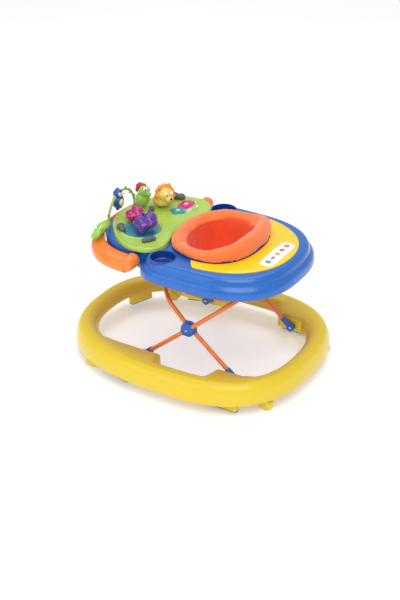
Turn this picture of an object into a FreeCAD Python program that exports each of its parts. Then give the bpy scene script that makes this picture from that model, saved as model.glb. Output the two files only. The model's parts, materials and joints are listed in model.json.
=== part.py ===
import FreeCAD, Part
import math
import os

# A folding baby walker: a ring-shaped base on four swivel casters, two scissor leg frames,
# a tray that carries the seat, and a toy station at the front of the tray.
# Millimetres. +Z is up, the child faces -Y, and the origin is on the floor under the base's centre.

Vector = FreeCAD.Vector
Placement = FreeCAD.Placement
Rotation = FreeCAD.Rotation
alongX = Rotation(Vector(0, 1, 0), 90)
upright = Rotation()

doc = FreeCAD.newDocument("BabyWalker")
sheet = doc.addObject("Spreadsheet::Sheet", "Dims")

drivingDimensions = [
    ("ringHalfWidth", 310, "base ring, centre to outer side"),
    ("ringFront", 440, "base ring, widest line to outer front"),
    ("ringRear", 308, "base ring, widest line to outer rear"),
    ("widestAt", 66, "y of the widest line of the ring and the tray"),
    ("ringCrest", 100, "height of the ring's crest"),
    ("ringSkirt", 36, "height of the ring's outer lower edge"),
    ("ringInnerEdge", 60, "height of the ring's inner lower edge"),
    ("wall", 3, "moulded wall thickness"),
    ("casterX", 232, "front caster stem, from the middle"),
    ("casterFrontY", -222, "front caster stem"),
    ("casterRearX", 180, "rear caster stem, from the middle"),
    ("casterRearY", 308, "rear caster stem"),
    ("casterTrail", 12, "wheel behind its stem"),
    ("wheelRadius", 16.5, "caster wheel"),
    ("wheelWidth", 15, "caster wheel"),
    ("axleRadius", 2.5, "caster axle"),
    ("stemRadius", 5, "caster stem"),
    ("tubeRadius", 6.5, "leg tube"),
    ("tubeWall", 1.2, "leg tube"),
    ("frontLegX", 185, "front leg tube, from the middle"),
    ("rearLegX", 170.5, "rear leg tube, from the middle"),
    ("lowerPivotZ", 62, "lower leg pivots above the floor"),
    ("rearPivotY", 215, "rear leg's pivot on the ring"),
    ("lowerLeg", 196.7, "lower pivot to hub"),
    ("upperLeg", 236.7, "hub to upper bar"),
    ("foldAngle", 39.84, "leg slope when open, in degrees"),
    ("foldedAngle", 12, "leg slope when folded, in degrees"),
    ("pinRadius", 4, "leg pivot pins"),
    ("runningGap", 0.05, "radial clearance of a running fit"),
    ("hubRadius", 17, "hub discs"),
    ("trayHalfWidth", 232, "tray skirt, centre to side"),
    ("trayRear", 263, "tray skirt, widest line to rear"),
    ("trayFront", 176, "tray skirt, widest line to front of the wide part"),
    ("lobeHalfWidth", 178, "front lobe of the tray"),
    ("lobeStart", -125, "y of the lobe's widest line"),
    ("lobeFront", 160, "lobe, widest line to front"),
    ("deck", 396, "height of the tray's top"),
    ("skirt", 336, "height of the tray's lower edge"),
    ("cupX", 175, "cup recess, from the middle"),
    ("cupY", -22, "cup recess"),
    ("cupRadius", 37.5, "cup recess"),
    ("cupDepth", 27, "cup recess"),
    ("seatY", 68, "middle of the seat opening"),
    ("seatHalfWidth", 128, "seat opening"),
    ("seatHalfLength", 110, "seat opening"),
    ("slingFloor", 210, "height of the seat's bottom"),
    ("panelTop", 407, "height of the toy panel's top"),
    ("pondX", 72, "middle of the pond"),
    ("pondY", -157, "middle of the pond"),
    ("pondRadius", 58, "pond"),
    ("knuckleY", -110, "handle hinge axis"),
    ("knuckleZ", 377, "handle hinge axis"),
    ("knuckleRadius", 21, "handle hinge knuckle"),
    ("handleHalfWidth", 240, "handle, centre to outer side"),
    ("handleFront", 195, "handle, hinge line to outer front"),
]
for row, (alias, value, note) in enumerate(drivingDimensions, 1):
    sheet.set("A%d" % row, note)
    sheet.set("B%d" % row, str(value))
    sheet.setAlias("B%d" % row, alias)
doc.recompute()

nodes = []
sides = (("left", -1), ("right", 1))


def dim(alias):
    return float(sheet.get(alias))


def at(x, y, z, rotation=upright):
    return Placement(Vector(x, y, z), rotation)


def solidObject(kind, name, place, **sizes):
    """A Part primitive; a size given as text is an expression on the sheet."""
    item = doc.addObject("Part::" + kind, name)
    item.Placement = place
    for prop, size in sizes.items():
        if isinstance(size, str):
            item.setExpression(prop, size)
        else:
            setattr(item, prop, size)
    return item


def cut(name, base, tool):
    item = doc.addObject("Part::Cut", name)
    item.Base = base
    item.Tool = tool
    return item


def fuse(name, *pieces):
    item = doc.addObject("Part::MultiFuse", name)
    item.Shapes = list(pieces)
    return item


def group(name, *pieces):
    """Several separate solids kept in one node."""
    item = doc.addObject("Part::Compound", name)
    item.Links = list(pieces)
    return item


def feature(name, shape):
    item = doc.addObject("Part::Feature", name)
    item.Shape = shape
    return item


def node(label, item):
    item.Label = label
    nodes.append(item)
    return item


def holeAlongX(shape, x, y, z, radius, length):
    """The shape with a round hole along X, centred at x."""
    drill = Part.makeCylinder(radius, length, Vector(x - length / 2, y, z), Vector(1, 0, 0))
    return shape.cut(drill)


# ---------- outlines ----------

def quarterArcs(halfWidth, reach, fullness):
    """Joints of a quarter outline made of a side arc, a corner arc and an end arc, all tangent.

    fullness gives the side and end radii as multiples of an ellipse's, and the corner's as a
    share of the smaller half size. Returns each arc's middle and end point, side arc first."""
    sideShare, endShare, cornerShare = fullness
    sideRadius = sideShare * reach * reach / halfWidth
    endRadius = endShare * halfWidth * halfWidth / reach
    corner = cornerShare * min(halfWidth, reach)
    sideCentre = Vector(halfWidth - sideRadius, 0, 0)
    endCentre = Vector(0, reach - endRadius, 0)
    line = endCentre - sideCentre
    span = line.Length
    toSide = sideRadius - corner
    toEnd = endRadius - corner
    along = (toSide ** 2 - toEnd ** 2 + span ** 2) / (2 * span)
    off = math.sqrt(toSide ** 2 - along ** 2)
    unit = line / span
    middle = sideCentre + unit * along
    offsets = [middle + Vector(-unit.y, unit.x, 0) * off, middle - Vector(-unit.y, unit.x, 0) * off]
    centre = [c for c in offsets if c.x > 0 and c.y > 0][0]
    first = math.atan2(centre.y - sideCentre.y, centre.x - sideCentre.x)
    second = math.atan2(centre.y - endCentre.y, centre.x - endCentre.x)

    def on(hub, radius, angle):
        return hub + Vector(math.cos(angle), math.sin(angle), 0) * radius

    return [on(sideCentre, sideRadius, first / 2), on(sideCentre, sideRadius, first),
            on(centre, corner, (first + second) / 2), on(centre, corner, second), Vector(0, reach, 0)]


def eggWire(halfWidth, rear, front, middle, height, rearFull, frontFull):
    """Closed outline of ten tangent arcs; the front and rear halves have their own lengths."""
    back = quarterArcs(halfWidth, rear, rearFull)
    fore = quarterArcs(halfWidth, front, frontFull)

    def put(point, signX, signY):
        return Vector(signX * point.x, middle + signY * point.y, height)

    start = Vector(halfWidth, 0, 0)
    arcs = [(start, back[0], back[1], 1, 1), (back[1], back[2], back[3], 1, 1)]
    edges = [Part.Arc(put(p, i, j), put(q, i, j), put(r, i, j)).toShape() for p, q, r, i, j in arcs]
    edges.append(Part.Arc(put(back[3], 1, 1), put(back[4], 1, 1), put(back[3], -1, 1)).toShape())
    arcs = [(back[3], back[2], back[1], -1, 1), (back[1], back[0], start, -1, 1),
            (start, fore[0], fore[1], -1, -1), (fore[1], fore[2], fore[3], -1, -1)]
    edges += [Part.Arc(put(p, i, j), put(q, i, j), put(r, i, j)).toShape() for p, q, r, i, j in arcs]
    edges.append(Part.Arc(put(fore[3], -1, -1), put(fore[4], -1, -1), put(fore[3], 1, -1)).toShape())
    arcs = [(fore[3], fore[2], fore[1], 1, -1), (fore[1], fore[0], start, 1, -1)]
    edges += [Part.Arc(put(p, i, j), put(q, i, j), put(r, i, j)).toShape() for p, q, r, i, j in arcs]
    return Part.Wire(edges)


def shellBetween(outerWires, innerWires):
    """A closed solid between two skins that share their first and last levels."""
    outer = Part.makeLoft(outerWires, False, False)
    inner = Part.makeLoft(innerWires, False, False)
    foot = Part.makeRuledSurface(outerWires[0], innerWires[0])
    rim = Part.makeRuledSurface(outerWires[-1], innerWires[-1])
    return closedSolid(outer.Faces + inner.Faces + foot.Faces + rim.Faces)


def closedSolid(faces):
    shell = Part.makeShell(faces)
    shell.sewShape()
    solid = Part.makeSolid(shell)
    if solid.Volume < 0:
        solid.reverse()
    return solid


def domeOf(wires, ruled=False):
    """A solid whose sides run through the wires, closed by flat faces at both ends."""
    sides = Part.makeLoft(wires, False, ruled)
    faces = sides.Faces + [Part.Face(wires[0]), Part.Face(wires[-1])]
    return closedSolid(faces)


def prism(wire, height):
    return Part.Face(wire).extrude(Vector(0, 0, height))


def roundedPath(points, radii):
    """Straight runs joined by tangent arcs; radii holds one radius for each inner point."""
    edges = []
    last = points[0]
    for corner, radius, after in zip(points[1:-1], radii, points[2:]):
        before = (last - corner).normalize()
        beyond = (after - corner).normalize()
        half = before.getAngle(beyond) / 2
        reach = radius / math.tan(half)
        start = corner + before * reach
        end = corner + beyond * reach
        bisector = (before + beyond).normalize()
        middle = corner + bisector * (radius / math.sin(half) - radius)
        edges.append(Part.LineSegment(last, start).toShape())
        edges.append(Part.Arc(start, middle, end).toShape())
        last = end
    edges.append(Part.LineSegment(last, points[-1]).toShape())
    return Part.Wire(edges)


def pipe(path, radius):
    """A round bar swept along a path."""
    edge = path.Edges[0]
    start = edge.valueAt(edge.FirstParameter)
    direction = edge.tangentAt(edge.FirstParameter)
    profile = Part.Wire(Part.makeCircle(radius, start, direction))
    return path.makePipeShell([profile], True, True)


def egg(x, y, z, rx, ry, rz):
    """An ellipsoid centred at x, y, z."""
    ball = Part.makeSphere(1.0)
    stretch = FreeCAD.Matrix()
    stretch.scale(rx, ry, rz)
    solid = ball.transformGeometry(stretch)
    solid.translate(Vector(x, y, z))
    return solid


def fusedEggs(eggs):
    body = egg(*eggs[0])
    for other in eggs[1:]:
        body = body.fuse(egg(*other))
    return body.removeSplitter()


# ---------- base ring ----------

ringHalfWidth = dim("ringHalfWidth")
ringFront = dim("ringFront")
ringRear = dim("ringRear")
widestAt = dim("widestAt")
ringCrest = dim("ringCrest")
ringSkirt = dim("ringSkirt")
ringInnerEdge = dim("ringInnerEdge")
wall = dim("wall")
ringRearFull = (2.4, 2.5, 0.78)
ringFrontFull = (1.7, 8.0, 0.856)
ringBand = 78.0
frontShare = 58 / ringBand
rearShare = 65 / ringBand


def ringWire(inset, height):
    """The ring's outline moved in by inset at the sides, and by less at the front and rear."""
    return eggWire(ringHalfWidth - inset, ringRear - inset * rearShare,
                   ringFront - inset * frontShare, widestAt, height, ringRearFull, ringFrontFull)


crest = ringCrest
outerLevels = [(0, ringSkirt), (0, 50), (4, 75), (18, crest - 4), (32, crest),
               (50, crest - 4), (70, 84), (ringBand, 70), (ringBand, ringInnerEdge)]
innerLevels = [(wall, ringSkirt), (wall, 49), (7, 73), (20, crest - 7.5), (32, crest - wall),
               (48, crest - 7), (67, 81.5), (ringBand - wall, 69), (ringBand - wall, ringInnerEdge)]
ringSkin = [ringWire(inset, height) for inset, height in outerLevels]
ringInside = [ringWire(inset, height) for inset, height in innerLevels]
ringShell = shellBetween(ringSkin, ringInside)

# The space under the ring's skin, closed at its mouth: what stands in the ring ends on this.
hollowFoot = Part.makeRuledSurface(ringInside[0], ringInside[-1])
ringHollow = closedSolid(Part.makeLoft(ringInside, False, False).Faces + hollowFoot.Faces)
plugFoot = Part.makeRuledSurface(ringSkin[0], ringSkin[-1])
ringPlug = closedSolid(Part.makeLoft(ringSkin, False, False).Faces + plugFoot.Faces)
node("base_ring", feature("BaseRing", ringShell))


def mirrored(shape):
    return shape.mirror(Vector(0, 0, 0), Vector(1, 0, 0))


def bothSides(shape):
    return [shape, mirrored(shape)]


def roundedBlock(x0, x1, y0, y1, z0, z1, radius):
    """A block whose upright edges on the inner side are rounded."""
    block = Part.makeBox(x1 - x0, y1 - y0, z1 - z0, Vector(x0, y0, z0))
    corners = [e for e in block.Edges if abs(e.tangentAt(e.FirstParameter).z) > 0.99
               and abs(e.CenterOfMass.x - x0) < 0.01]
    return block.makeFillet(radius, corners)


slope = math.radians(dim("foldAngle"))
foldedSlope = math.radians(dim("foldedAngle"))
hubY = dim("rearPivotY") - dim("lowerLeg") * math.cos(slope)
hubZ = dim("lowerPivotZ") + dim("lowerLeg") * math.sin(slope)
frontPivotY = hubY - dim("lowerLeg") * math.cos(slope)
pivotZ = dim("lowerPivotZ")
closing = math.cos(foldedSlope) - math.cos(slope)
slideLow = frontPivotY - 2 * dim("lowerLeg") * closing
guideFace = dim("frontLegX") + 11
rearFace = dim("rearLegX") + 10.5
slotFloor = guideFace + 4.8
slotHalf = dim("pinRadius") + 0.4
slotLength = frontPivotY - slideLow

# front: a guide with a slot for the sliding foot; rear: a boss with a hole for the fixed pivot
guide = roundedBlock(guideFace, 228, slideLow - 16, -24, 46, 84, 8).cut(ringPlug)
slot = Part.makeBox(slotFloor - guideFace + 1, slotLength, 2 * slotHalf,
                    Vector(guideFace - 1, slideLow, pivotZ - slotHalf))
for endY in (slideLow, frontPivotY):
    slot = slot.fuse(Part.makeCylinder(slotHalf, slotFloor - guideFace + 1,
                                       Vector(guideFace - 1, endY, pivotZ), Vector(1, 0, 0)))
guide = guide.cut(slot)
rearBoss = roundedBlock(rearFace, 230, 170, 246, 46, 84, 8).cut(ringPlug)
rearBoss = rearBoss.cut(Part.makeCylinder(dim("pinRadius"), 10,
        Vector(rearFace - 1, dim("rearPivotY"), pivotZ),
                                          Vector(1, 0, 0)))
for name, shape in (("front_slide_guides", guide), ("rear_pivot_bosses", rearBoss)):
    solid = sorted(shape.Solids, key=lambda s: s.CenterOfMass.x)[0]
    tag = name.title().replace("_", "")
    pair = [feature(tag + str(i), piece) for i, piece in enumerate(bothSides(solid))]
    node(name, group(tag, *pair))

# caster sockets stand in the hollow and end on the ring's skin
trail = dim("casterTrail")
casterPlaces = [("front_left", -dim("casterX"), dim("casterFrontY"), -trail),
                ("front_right", dim("casterX"), dim("casterFrontY"), -trail),
                ("rear_left", -dim("casterRearX"), dim("casterRearY"), trail),
                ("rear_right", dim("casterRearX"), dim("casterRearY"), trail)]
stemHole = dim("stemRadius") + dim("runningGap")
socketFoot = 41.0
sockets = []
for name, x, y, offset in casterPlaces:
    socket = Part.makeCylinder(10, 20, Vector(x, y, socketFoot))
    socket = socket.fuse(Part.makeCylinder(10, 60, Vector(x, y,
            socketFoot + 20)).common(ringHollow)).removeSplitter()
    socket = socket.cut(Part.makeCylinder(stemHole, 30, Vector(x, y, socketFoot - 1)))
    sockets.append(feature("Socket" + name.title().replace("_", ""), socket))
node("caster_sockets", group("CasterSockets", *sockets))

# ---------- stop pads: blocks in the ring that rest on the floor when a wheel drops off a step ----------

padWidth = 22.0


def padBlock(x0, y0, x1, y1, foot, top, width):
    """An upright block that stands between two points on the floor plan."""
    run = Vector(x1 - x0, y1 - y0, 0)
    block = Part.makeBox(run.Length, width, top - foot, Vector(0, -width / 2, foot))
    ends = [e for e in block.Edges if abs(e.tangentAt(e.FirstParameter).z) > 0.99]
    block = block.makeFillet(4, ends)
    block.rotate(Vector(0, 0, 0), Vector(0, 0, 1), math.degrees(math.atan2(run.y, run.x)))
    block.translate(Vector(x0, y0, 0))
    return block


padLines = [("front", 120, -325, 192, -296, 17), ("side", 243, -186, 270, -85, 17),
        ("rear", 243, 152, 243, 262, 11)]
stripHeight = 3.0
padJoin = 66.0
pads = []
strips = []
for name, x0, y0, x1, y1, foot in padLines:
    upper = padBlock(x0, y0, x1, y1, padJoin, 120, padWidth).common(ringHollow)
    housing = padBlock(x0, y0, x1, y1, foot, padJoin, padWidth).fuse(upper).removeSplitter()
    pads += bothSides(housing)
    strips += bothSides(padBlock(x0, y0, x1, y1, foot - stripHeight, foot, padWidth - 3))
node("stop_pads", group("StopPads", *[feature("StopPad%d" % i, pad) for i, pad in enumerate(pads)]))
node("grip_strips", group("GripStrips", *[feature("GripStrip%d" % i, strip) for i,
        strip in enumerate(strips)]))

# ---------- casters ----------

wheelZ = dim("wheelRadius")
for name, x, y, offset in casterPlaces:
    wheelY = y + offset
    tag = name.title().replace("_", "")
    hood = solidObject("Cylinder", "Hood" + tag, at(x - 12, wheelY, wheelZ, alongX),
            Radius="Dims.wheelRadius + 2.3", Height=24)
    neck = solidObject("Cylinder", "Neck" + tag, at(x, y, 20), Radius=9.5, Height=20.5)
    stem = solidObject("Cylinder", "Stem" + tag, at(x, y, 38), Radius="Dims.stemRadius", Height=28)
    outside = fuse("CasterBlank" + tag, hood, neck, stem)
    room = solidObject("Cylinder", "WheelRoom" + tag, at(x - 8.2, wheelY, wheelZ, alongX),
                       Radius="Dims.wheelRadius + 1.2", Height=16.4)
    below = solidObject("Box", "OpenBelow" + tag, at(x - 8.2, wheelY - 30, -10), Length=16.4, Width=60,
            Height=24)
    trim = solidObject("Box", "TrimBelow" + tag, at(x - 20, wheelY - 40, -20), Length=40, Width=80,
            Height=27)
    bore = solidObject("Cylinder", "AxleBore" + tag, at(x - 20, wheelY, wheelZ, alongX),
            Radius="Dims.axleRadius", Height=40)
    tools = fuse("CasterTools" + tag, room, below, trim, bore)
    node("caster_fork_" + name, cut("CasterFork" + tag, outside, tools))
    tread = solidObject("Cylinder", "Tread" + tag, at(x - 7.5, wheelY, wheelZ, alongX),
            Radius="Dims.wheelRadius", Height="Dims.wheelWidth")
    edgeRound = doc.addObject("Part::Fillet", "TreadRound" + tag)
    edgeRound.Base = tread
    edgeRound.Edges = [(1, 2.0, 2.0), (3, 2.0, 2.0)]
    wheelBore = solidObject("Cylinder", "WheelBore" + tag, at(x - 10, wheelY, wheelZ, alongX),
                            Radius="Dims.axleRadius + Dims.runningGap", Height=20)
    node("caster_wheel_" + name, cut("CasterWheel" + tag, edgeRound, wheelBore))
    node("caster_axle_" + name, solidObject("Cylinder", "CasterAxle" + tag,
            at(x - 12.5, wheelY, wheelZ, alongX),
                                            Radius="Dims.axleRadius", Height=25))

# ---------- leg frames ----------

tubeRadius = dim("tubeRadius")
legLength = dim("lowerLeg") + dim("upperLeg")
tubeStart = 9.0


def legPoint(x, along, forward):
    """A point at a distance along a leg from its lower pivot; forward is +1 or -1 along Y."""
    startY = frontPivotY if forward > 0 else dim("rearPivotY")
    return Vector(x, startY + forward * along * math.cos(slope), pivotZ + along * math.sin(slope))


def legFrame(stations, radii, forward):
    """One bent tube: up one side, across under the tray and down the other side."""
    climb = [legPoint(x, along, forward) for x, along in stations]
    across = [legPoint(-x, along, forward) for x, along in reversed(stations)]
    path = roundedPath(climb + across, radii + list(reversed(radii)))
    outside = pipe(path, tubeRadius)
    inside = pipe(path, tubeRadius - dim("tubeWall"))
    return outside.cut(inside)


hubAlong = dim("lowerLeg")
frontTube = legFrame([(dim("frontLegX"), tubeStart), (dim("frontLegX"), hubAlong + 24),
        (158, hubAlong + 160), (136, legLength)],
                     [60, 120, 26], 1)
rearTube = legFrame([(dim("rearLegX"), tubeStart), (dim("rearLegX"), hubAlong + 24),
        (162, hubAlong + 98), (66, legLength)],
                    [60, 60, 30], -1)
rivetRadius = 3.0
for sign in (-1, 1):
    frontTube = holeAlongX(frontTube, sign * dim("frontLegX"), hubY, hubZ, rivetRadius, 30)
    rearTube = holeAlongX(rearTube, sign * dim("rearLegX"), hubY, hubZ,
            rivetRadius + dim("runningGap"), 14.5)
node("front_leg_frame", feature("FrontLegFrame", frontTube))
node("rear_leg_frame", feature("RearLegFrame", rearTube))

bar = legPoint(0, legLength, 1)
slideBar = legPoint(0, legLength, -1)


def legCap(x, forward, pinHole, name):
    """A moulded end that wraps the tube's foot and carries the pivot eye."""
    foot = legPoint(x, 0, forward)
    direction = (legPoint(x, 10, forward) - foot).normalize()
    sleeve = Part.makeCylinder(tubeRadius + 2.6, 38, foot, direction)
    eye = Part.makeCylinder(12, 15, Vector(x - 7.5, foot.y, foot.z), Vector(1, 0, 0))
    body = sleeve.fuse(eye)
    body = body.cut(Part.makeCylinder(tubeRadius, 60, foot + direction * tubeStart, direction))
    if pinHole:
        body = holeAlongX(body, x, foot.y, foot.z, pinHole, 60)
    return feature(name, body.removeSplitter())


pinRadius = dim("pinRadius")
frontCaps = [legCap(sign * dim("frontLegX"), 1, pinRadius, "FrontLegCap" + side.title()) for side,
        sign in sides]
rearCaps = [legCap(sign * dim("rearLegX"), -1, pinRadius + dim("runningGap"), "RearLegCap" + side.title())
            for side, sign in sides]
node("front_leg_caps", group("FrontLegCaps", *frontCaps))
node("rear_leg_caps", group("RearLegCaps", *rearCaps))
slidePinFrom = dim("frontLegX") - 7.5
rearPinFrom = dim("rearLegX") - 7.5
slidePins = [Part.makeCylinder(pinRadius, slotFloor - 0.4 - slidePinFrom,
        Vector(slidePinFrom, frontPivotY, pivotZ), Vector(1, 0, 0))]
slidePins += [mirrored(slidePins[0])]
rearPins = [Part.makeCylinder(pinRadius, rearFace + 9 - rearPinFrom,
        Vector(rearPinFrom, dim("rearPivotY"), pivotZ), Vector(1, 0, 0))]
rearPins += [mirrored(rearPins[0])]
node("leg_slide_pins", group("LegSlidePins", *[feature("SlidePin%d" % i, p) for i,
        p in enumerate(slidePins)]))
node("leg_pivot_pins", group("LegPivotPins", *[feature("PivotPin%d" % i, p) for i,
        p in enumerate(rearPins)]))

# hubs: a disc on each tube, face to face, held by a rivet
hubMiddle = (dim("frontLegX") + dim("rearLegX")) / 2
hubFace = 0.25
outer = Part.makeCylinder(dim("hubRadius"), 18, Vector(hubMiddle + hubFace, hubY, hubZ), Vector(1, 0, 0))
outer = outer.makeFillet(7, [e for e in outer.Edges if e.CenterOfMass.x > hubMiddle + 15])
inner = Part.makeCylinder(dim("hubRadius"), 17, Vector(hubMiddle - hubFace - 17, hubY, hubZ),
        Vector(1, 0, 0))
inner = inner.makeFillet(6, [e for e in inner.Edges if e.CenterOfMass.x < hubMiddle - 15])
frontBar = Part.makeCylinder(tubeRadius, 120, legPoint(dim("frontLegX"), hubAlong - 60, 1),
                             legPoint(0, 10, 1) - legPoint(0, 0, 1))
rearBar = Part.makeCylinder(tubeRadius, 120, legPoint(dim("rearLegX"), hubAlong - 60, -1),
                            legPoint(0, 10, -1) - legPoint(0, 0, -1))
outer = holeAlongX(outer.cut(frontBar), hubMiddle, hubY, hubZ, rivetRadius, 60)
inner = holeAlongX(inner.cut(rearBar), hubMiddle, hubY, hubZ, rivetRadius + dim("runningGap"), 60)
node("hub_outer_discs", group("HubOuterDiscs", *[feature("HubOuter%d" % i, d) for i,
        d in enumerate(bothSides(outer))]))
node("hub_inner_discs", group("HubInnerDiscs", *[feature("HubInner%d" % i, d) for i,
        d in enumerate(bothSides(inner))]))
rivet = Part.makeCylinder(rivetRadius, 34, Vector(hubMiddle - 17, hubY, hubZ), Vector(1, 0, 0))
node("hub_rivets", group("HubRivets", feature("RivetRight", rivet), feature("RivetLeft", mirrored(rivet))))

# ---------- tray ----------

deck = dim("deck")
skirt = dim("skirt")
trayRearFull = (2.25, 3.26, 0.8)
trayFrontFull = (14.0, 8.8, 0.49)
lobeFull = (1.2, 1.05, 0.85)
seatFull = (3.0, 1.5, 0.9)


def trayWire(inset, height):
    return eggWire(dim("trayHalfWidth") - inset, dim("trayRear") - inset, dim("trayFront") - inset,
                   widestAt, height, trayRearFull, trayFrontFull)


def lobeWire(inset, height):
    return eggWire(dim("lobeHalfWidth") - inset, dim("lobeFront") - inset, dim("lobeFront") - inset,
                   dim("lobeStart"), height, lobeFull, lobeFull)


trayLevels = [(1, skirt), (0, 346), (2, 360), (6, 369), (12, 375), (14, 383), (18, 391), (26, deck)]
trayInner = [(1 + wall, skirt - 1), (wall, 346), (2 + wall, 359), (6 + wall, 367), (12 + wall, 373),
             (14 + wall, 382), (18 + wall, 389), (24 + wall, deck - wall)]
lobeLevels = [(2, 348), (0, 362), (0, 380), (3, 390), (9, deck)]
lobeInner = [(2 + wall, 347), (wall, 362), (wall, 380), (3 + wall, 389), (7 + wall, deck - wall)]
trayOutside = domeOf([trayWire(*level) for level in trayLevels], True)
trayHollow = domeOf([trayWire(*level) for level in trayInner], True)
lobeOutside = domeOf([lobeWire(*level) for level in lobeLevels], True)
lobeHollow = domeOf([lobeWire(*level) for level in lobeInner], True)
trayBody = trayOutside.fuse(lobeOutside).cut(trayHollow).cut(lobeHollow)


def seatWire(grow, height, lengthGrow=None):
    lengthGrow = grow if lengthGrow is None else lengthGrow
    reach = dim("seatHalfLength") + lengthGrow
    return eggWire(dim("seatHalfWidth") + grow, reach, reach, dim("seatY"), height, seatFull, seatFull)


trayBody = trayBody.cut(prism(seatWire(0, deck - 20), 40))
for side, sign in sides:
    trayBody = trayBody.cut(Part.makeCylinder(dim("cupRadius"), 40,
            Vector(sign * dim("cupX"), dim("cupY"), deck - 20)))
# a hole for the battery box, and a gap in the front skirt for the sliding bar
trayBody = trayBody.cut(Part.makeBox(76, 42, 30, Vector(-38, -266, deck - 20)))
trayBody = trayBody.cut(Part.makeBox(330, 30, 20, Vector(-165, -125, skirt - 6)))

# the saddle blocks that hold the front leg frame's bar, and the rails that guide the rear one's
slideTravel = 2 * dim("upperLeg") * closing
saddleHalf = 11.0
saddles = []
for sign in (-1, 1):
    x = sign * 84 - 8
    saddle = Part.makeBox(16, 2 * saddleHalf, deck - wall - bar.z + saddleHalf - 2,
            Vector(x, bar.y - saddleHalf, bar.z - saddleHalf + 2))
    saddle = saddle.cut(Part.makeCylinder(tubeRadius + dim("runningGap"), 40,
            Vector(x - 12, bar.y, bar.z), Vector(1, 0, 0)))
    saddles.append(saddle)
saddles = [feature("Saddle%d" % i, s) for i, s in enumerate(saddles)]

railGap = tubeRadius + 0.4
railFront = slideBar.y - slideTravel
rails = []
for sign in (-1, 1):
    x = sign * 45 - 5
    y0 = railFront - 14
    y1 = slideBar.y + 14
    rail = Part.makeBox(10, y1 - y0, deck - wall - slideBar.z + 12, Vector(x, y0, slideBar.z - 12))
    opening = Part.makeBox(30, slideBar.y - railFront, 2 * railGap,
            Vector(x - 10, railFront, slideBar.z - railGap))
    for endY in (railFront, slideBar.y):
        opening = opening.fuse(Part.makeCylinder(railGap, 30, Vector(x - 10, endY, slideBar.z),
                Vector(1, 0, 0)))
    rails.append(rail.cut(opening))
rails = [feature("Rail%d" % i, r) for i, r in enumerate(rails)]
node("leg_bar_mounts", group("LegBarMounts", *saddles, *rails))

# ---------- fold latches: a trigger in the skirt on each side ----------

latchY = 150.0
latchZ = 344.0
latchOuter = 222.0
latchGuides = []
for side, sign in sides:
    hole = Part.makeBox(60, 23, 9, Vector(latchOuter - 70, latchY - 11.5, latchZ - 4.5))
    lever = Part.makeBox(54, 22, 8, Vector(latchOuter - 56, latchY - 11, latchZ - 4))
    grip = Part.makeBox(7, 30, 22, Vector(latchOuter - 11, latchY - 15, latchZ - 22))
    guide = Part.makeBox(14, 34, deck - wall - latchZ + 10, Vector(latchOuter - 48, latchY - 17,
            latchZ - 10))
    guide = guide.cut(hole)
    shapes = [lever.fuse(grip).removeSplitter(), guide]
    if sign < 0:
        shapes = [mirrored(shape) for shape in shapes]
    node("fold_latch_" + side, feature("FoldLatch" + side.title(), shapes[0]))
    latchGuides.append(feature("LatchGuide" + side.title(), shapes[1]))

node("latch_guides", group("LatchGuides", *latchGuides))
node("tray_shell", feature("TrayShell", trayBody))

# ---------- cups ----------

cups = []
for side, sign in sides:
    tag = side.title()
    place = (sign * dim("cupX"), dim("cupY"))
    outside = solidObject("Cylinder", "CupBlank" + tag, at(place[0], place[1], deck - dim("cupDepth")),
                          Radius="Dims.cupRadius", Height="Dims.cupDepth")
    inside = solidObject("Cylinder", "CupRoom" + tag, at(place[0], place[1], deck - dim("cupDepth") + 2.5),
                         Radius="Dims.cupRadius - 2", Height="Dims.cupDepth")
    cups.append(cut("CupInsert" + tag, outside, inside))
node("cup_inserts", group("CupInserts", *cups))

# ---------- seat ----------

seatRing = prism(seatWire(-0.3, deck - 14), 14).cut(prism(seatWire(-5.5, deck - 15), 20))
flange = prism(seatWire(9, deck + 0.1), 3).cut(prism(seatWire(-5.5, deck - 1), 6))
seatRing = seatRing.cut(prism(seatWire(20, deck), 10)).fuse(prism(seatWire(-0.3, deck),
        0.1).cut(prism(seatWire(-5.5, deck - 1), 6)))
seatRing = seatRing.fuse(flange)
node("seat_ring", feature("SeatRing", seatRing.removeSplitter()))

# the padded rim: higher behind the child's back
rimFoot = deck + 3.4
rimSide = 424.0
rimBack = 456.0
rimOuter = domeOf([seatWire(26, rimFoot, 17), seatWire(28, rimFoot + 12, 19),
        seatWire(22, rimFoot + 34, 14), seatWire(6, 470, 2)])
rimInner = prism(seatWire(-14, rimFoot - 5, -20), 120)
rim = rimOuter.cut(rimInner)
slantLength = 420.0
slant = math.degrees(math.atan2(rimBack - rimSide, 150))
roof = Part.makeBox(500, slantLength, 200, Vector(-250, 0, 0))
roof.rotate(Vector(0, 0, 0), Vector(1, 0, 0), slant)
roof.translate(Vector(0, dim("seatY"), rimSide))
roofFront = Part.makeBox(500, slantLength, 200, Vector(-250, dim("seatY") - slantLength, rimSide))
rim = rim.cut(roof).cut(roofFront)
node("seat_rim_pad", feature("SeatRimPad", rim.removeSplitter()))

slingTop = deck - 16
slingFloor = dim("slingFloor")


def slingWires(thin):
    levels = [(-8, -8, slingTop), (-14, -14, 340), (-30, -26, 290), (-52, -40, 245),
            (-78, -62, slingFloor + 4), (-96, -82, slingFloor)]
    lift = thin if thin else 0
    return [seatWire(w - thin, z + (lift if z < 250 else 0) + (1 if thin and z == slingTop else 0),
            l - thin) for w, l, z in levels]


slingOutside = domeOf(slingWires(0))
slingInside = domeOf(slingWires(4.0))
sling = slingOutside.cut(slingInside)
for sign in (-1, 1):
    legHole = Part.makeCylinder(40, 130, Vector(sign * 48, -40, 285), Vector(0, 1, -0.12))
    sling = sling.cut(legHole)
node("seat_sling", feature("SeatSling", sling.removeSplitter()))

# ---------- rear panel and name plate ----------

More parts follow.
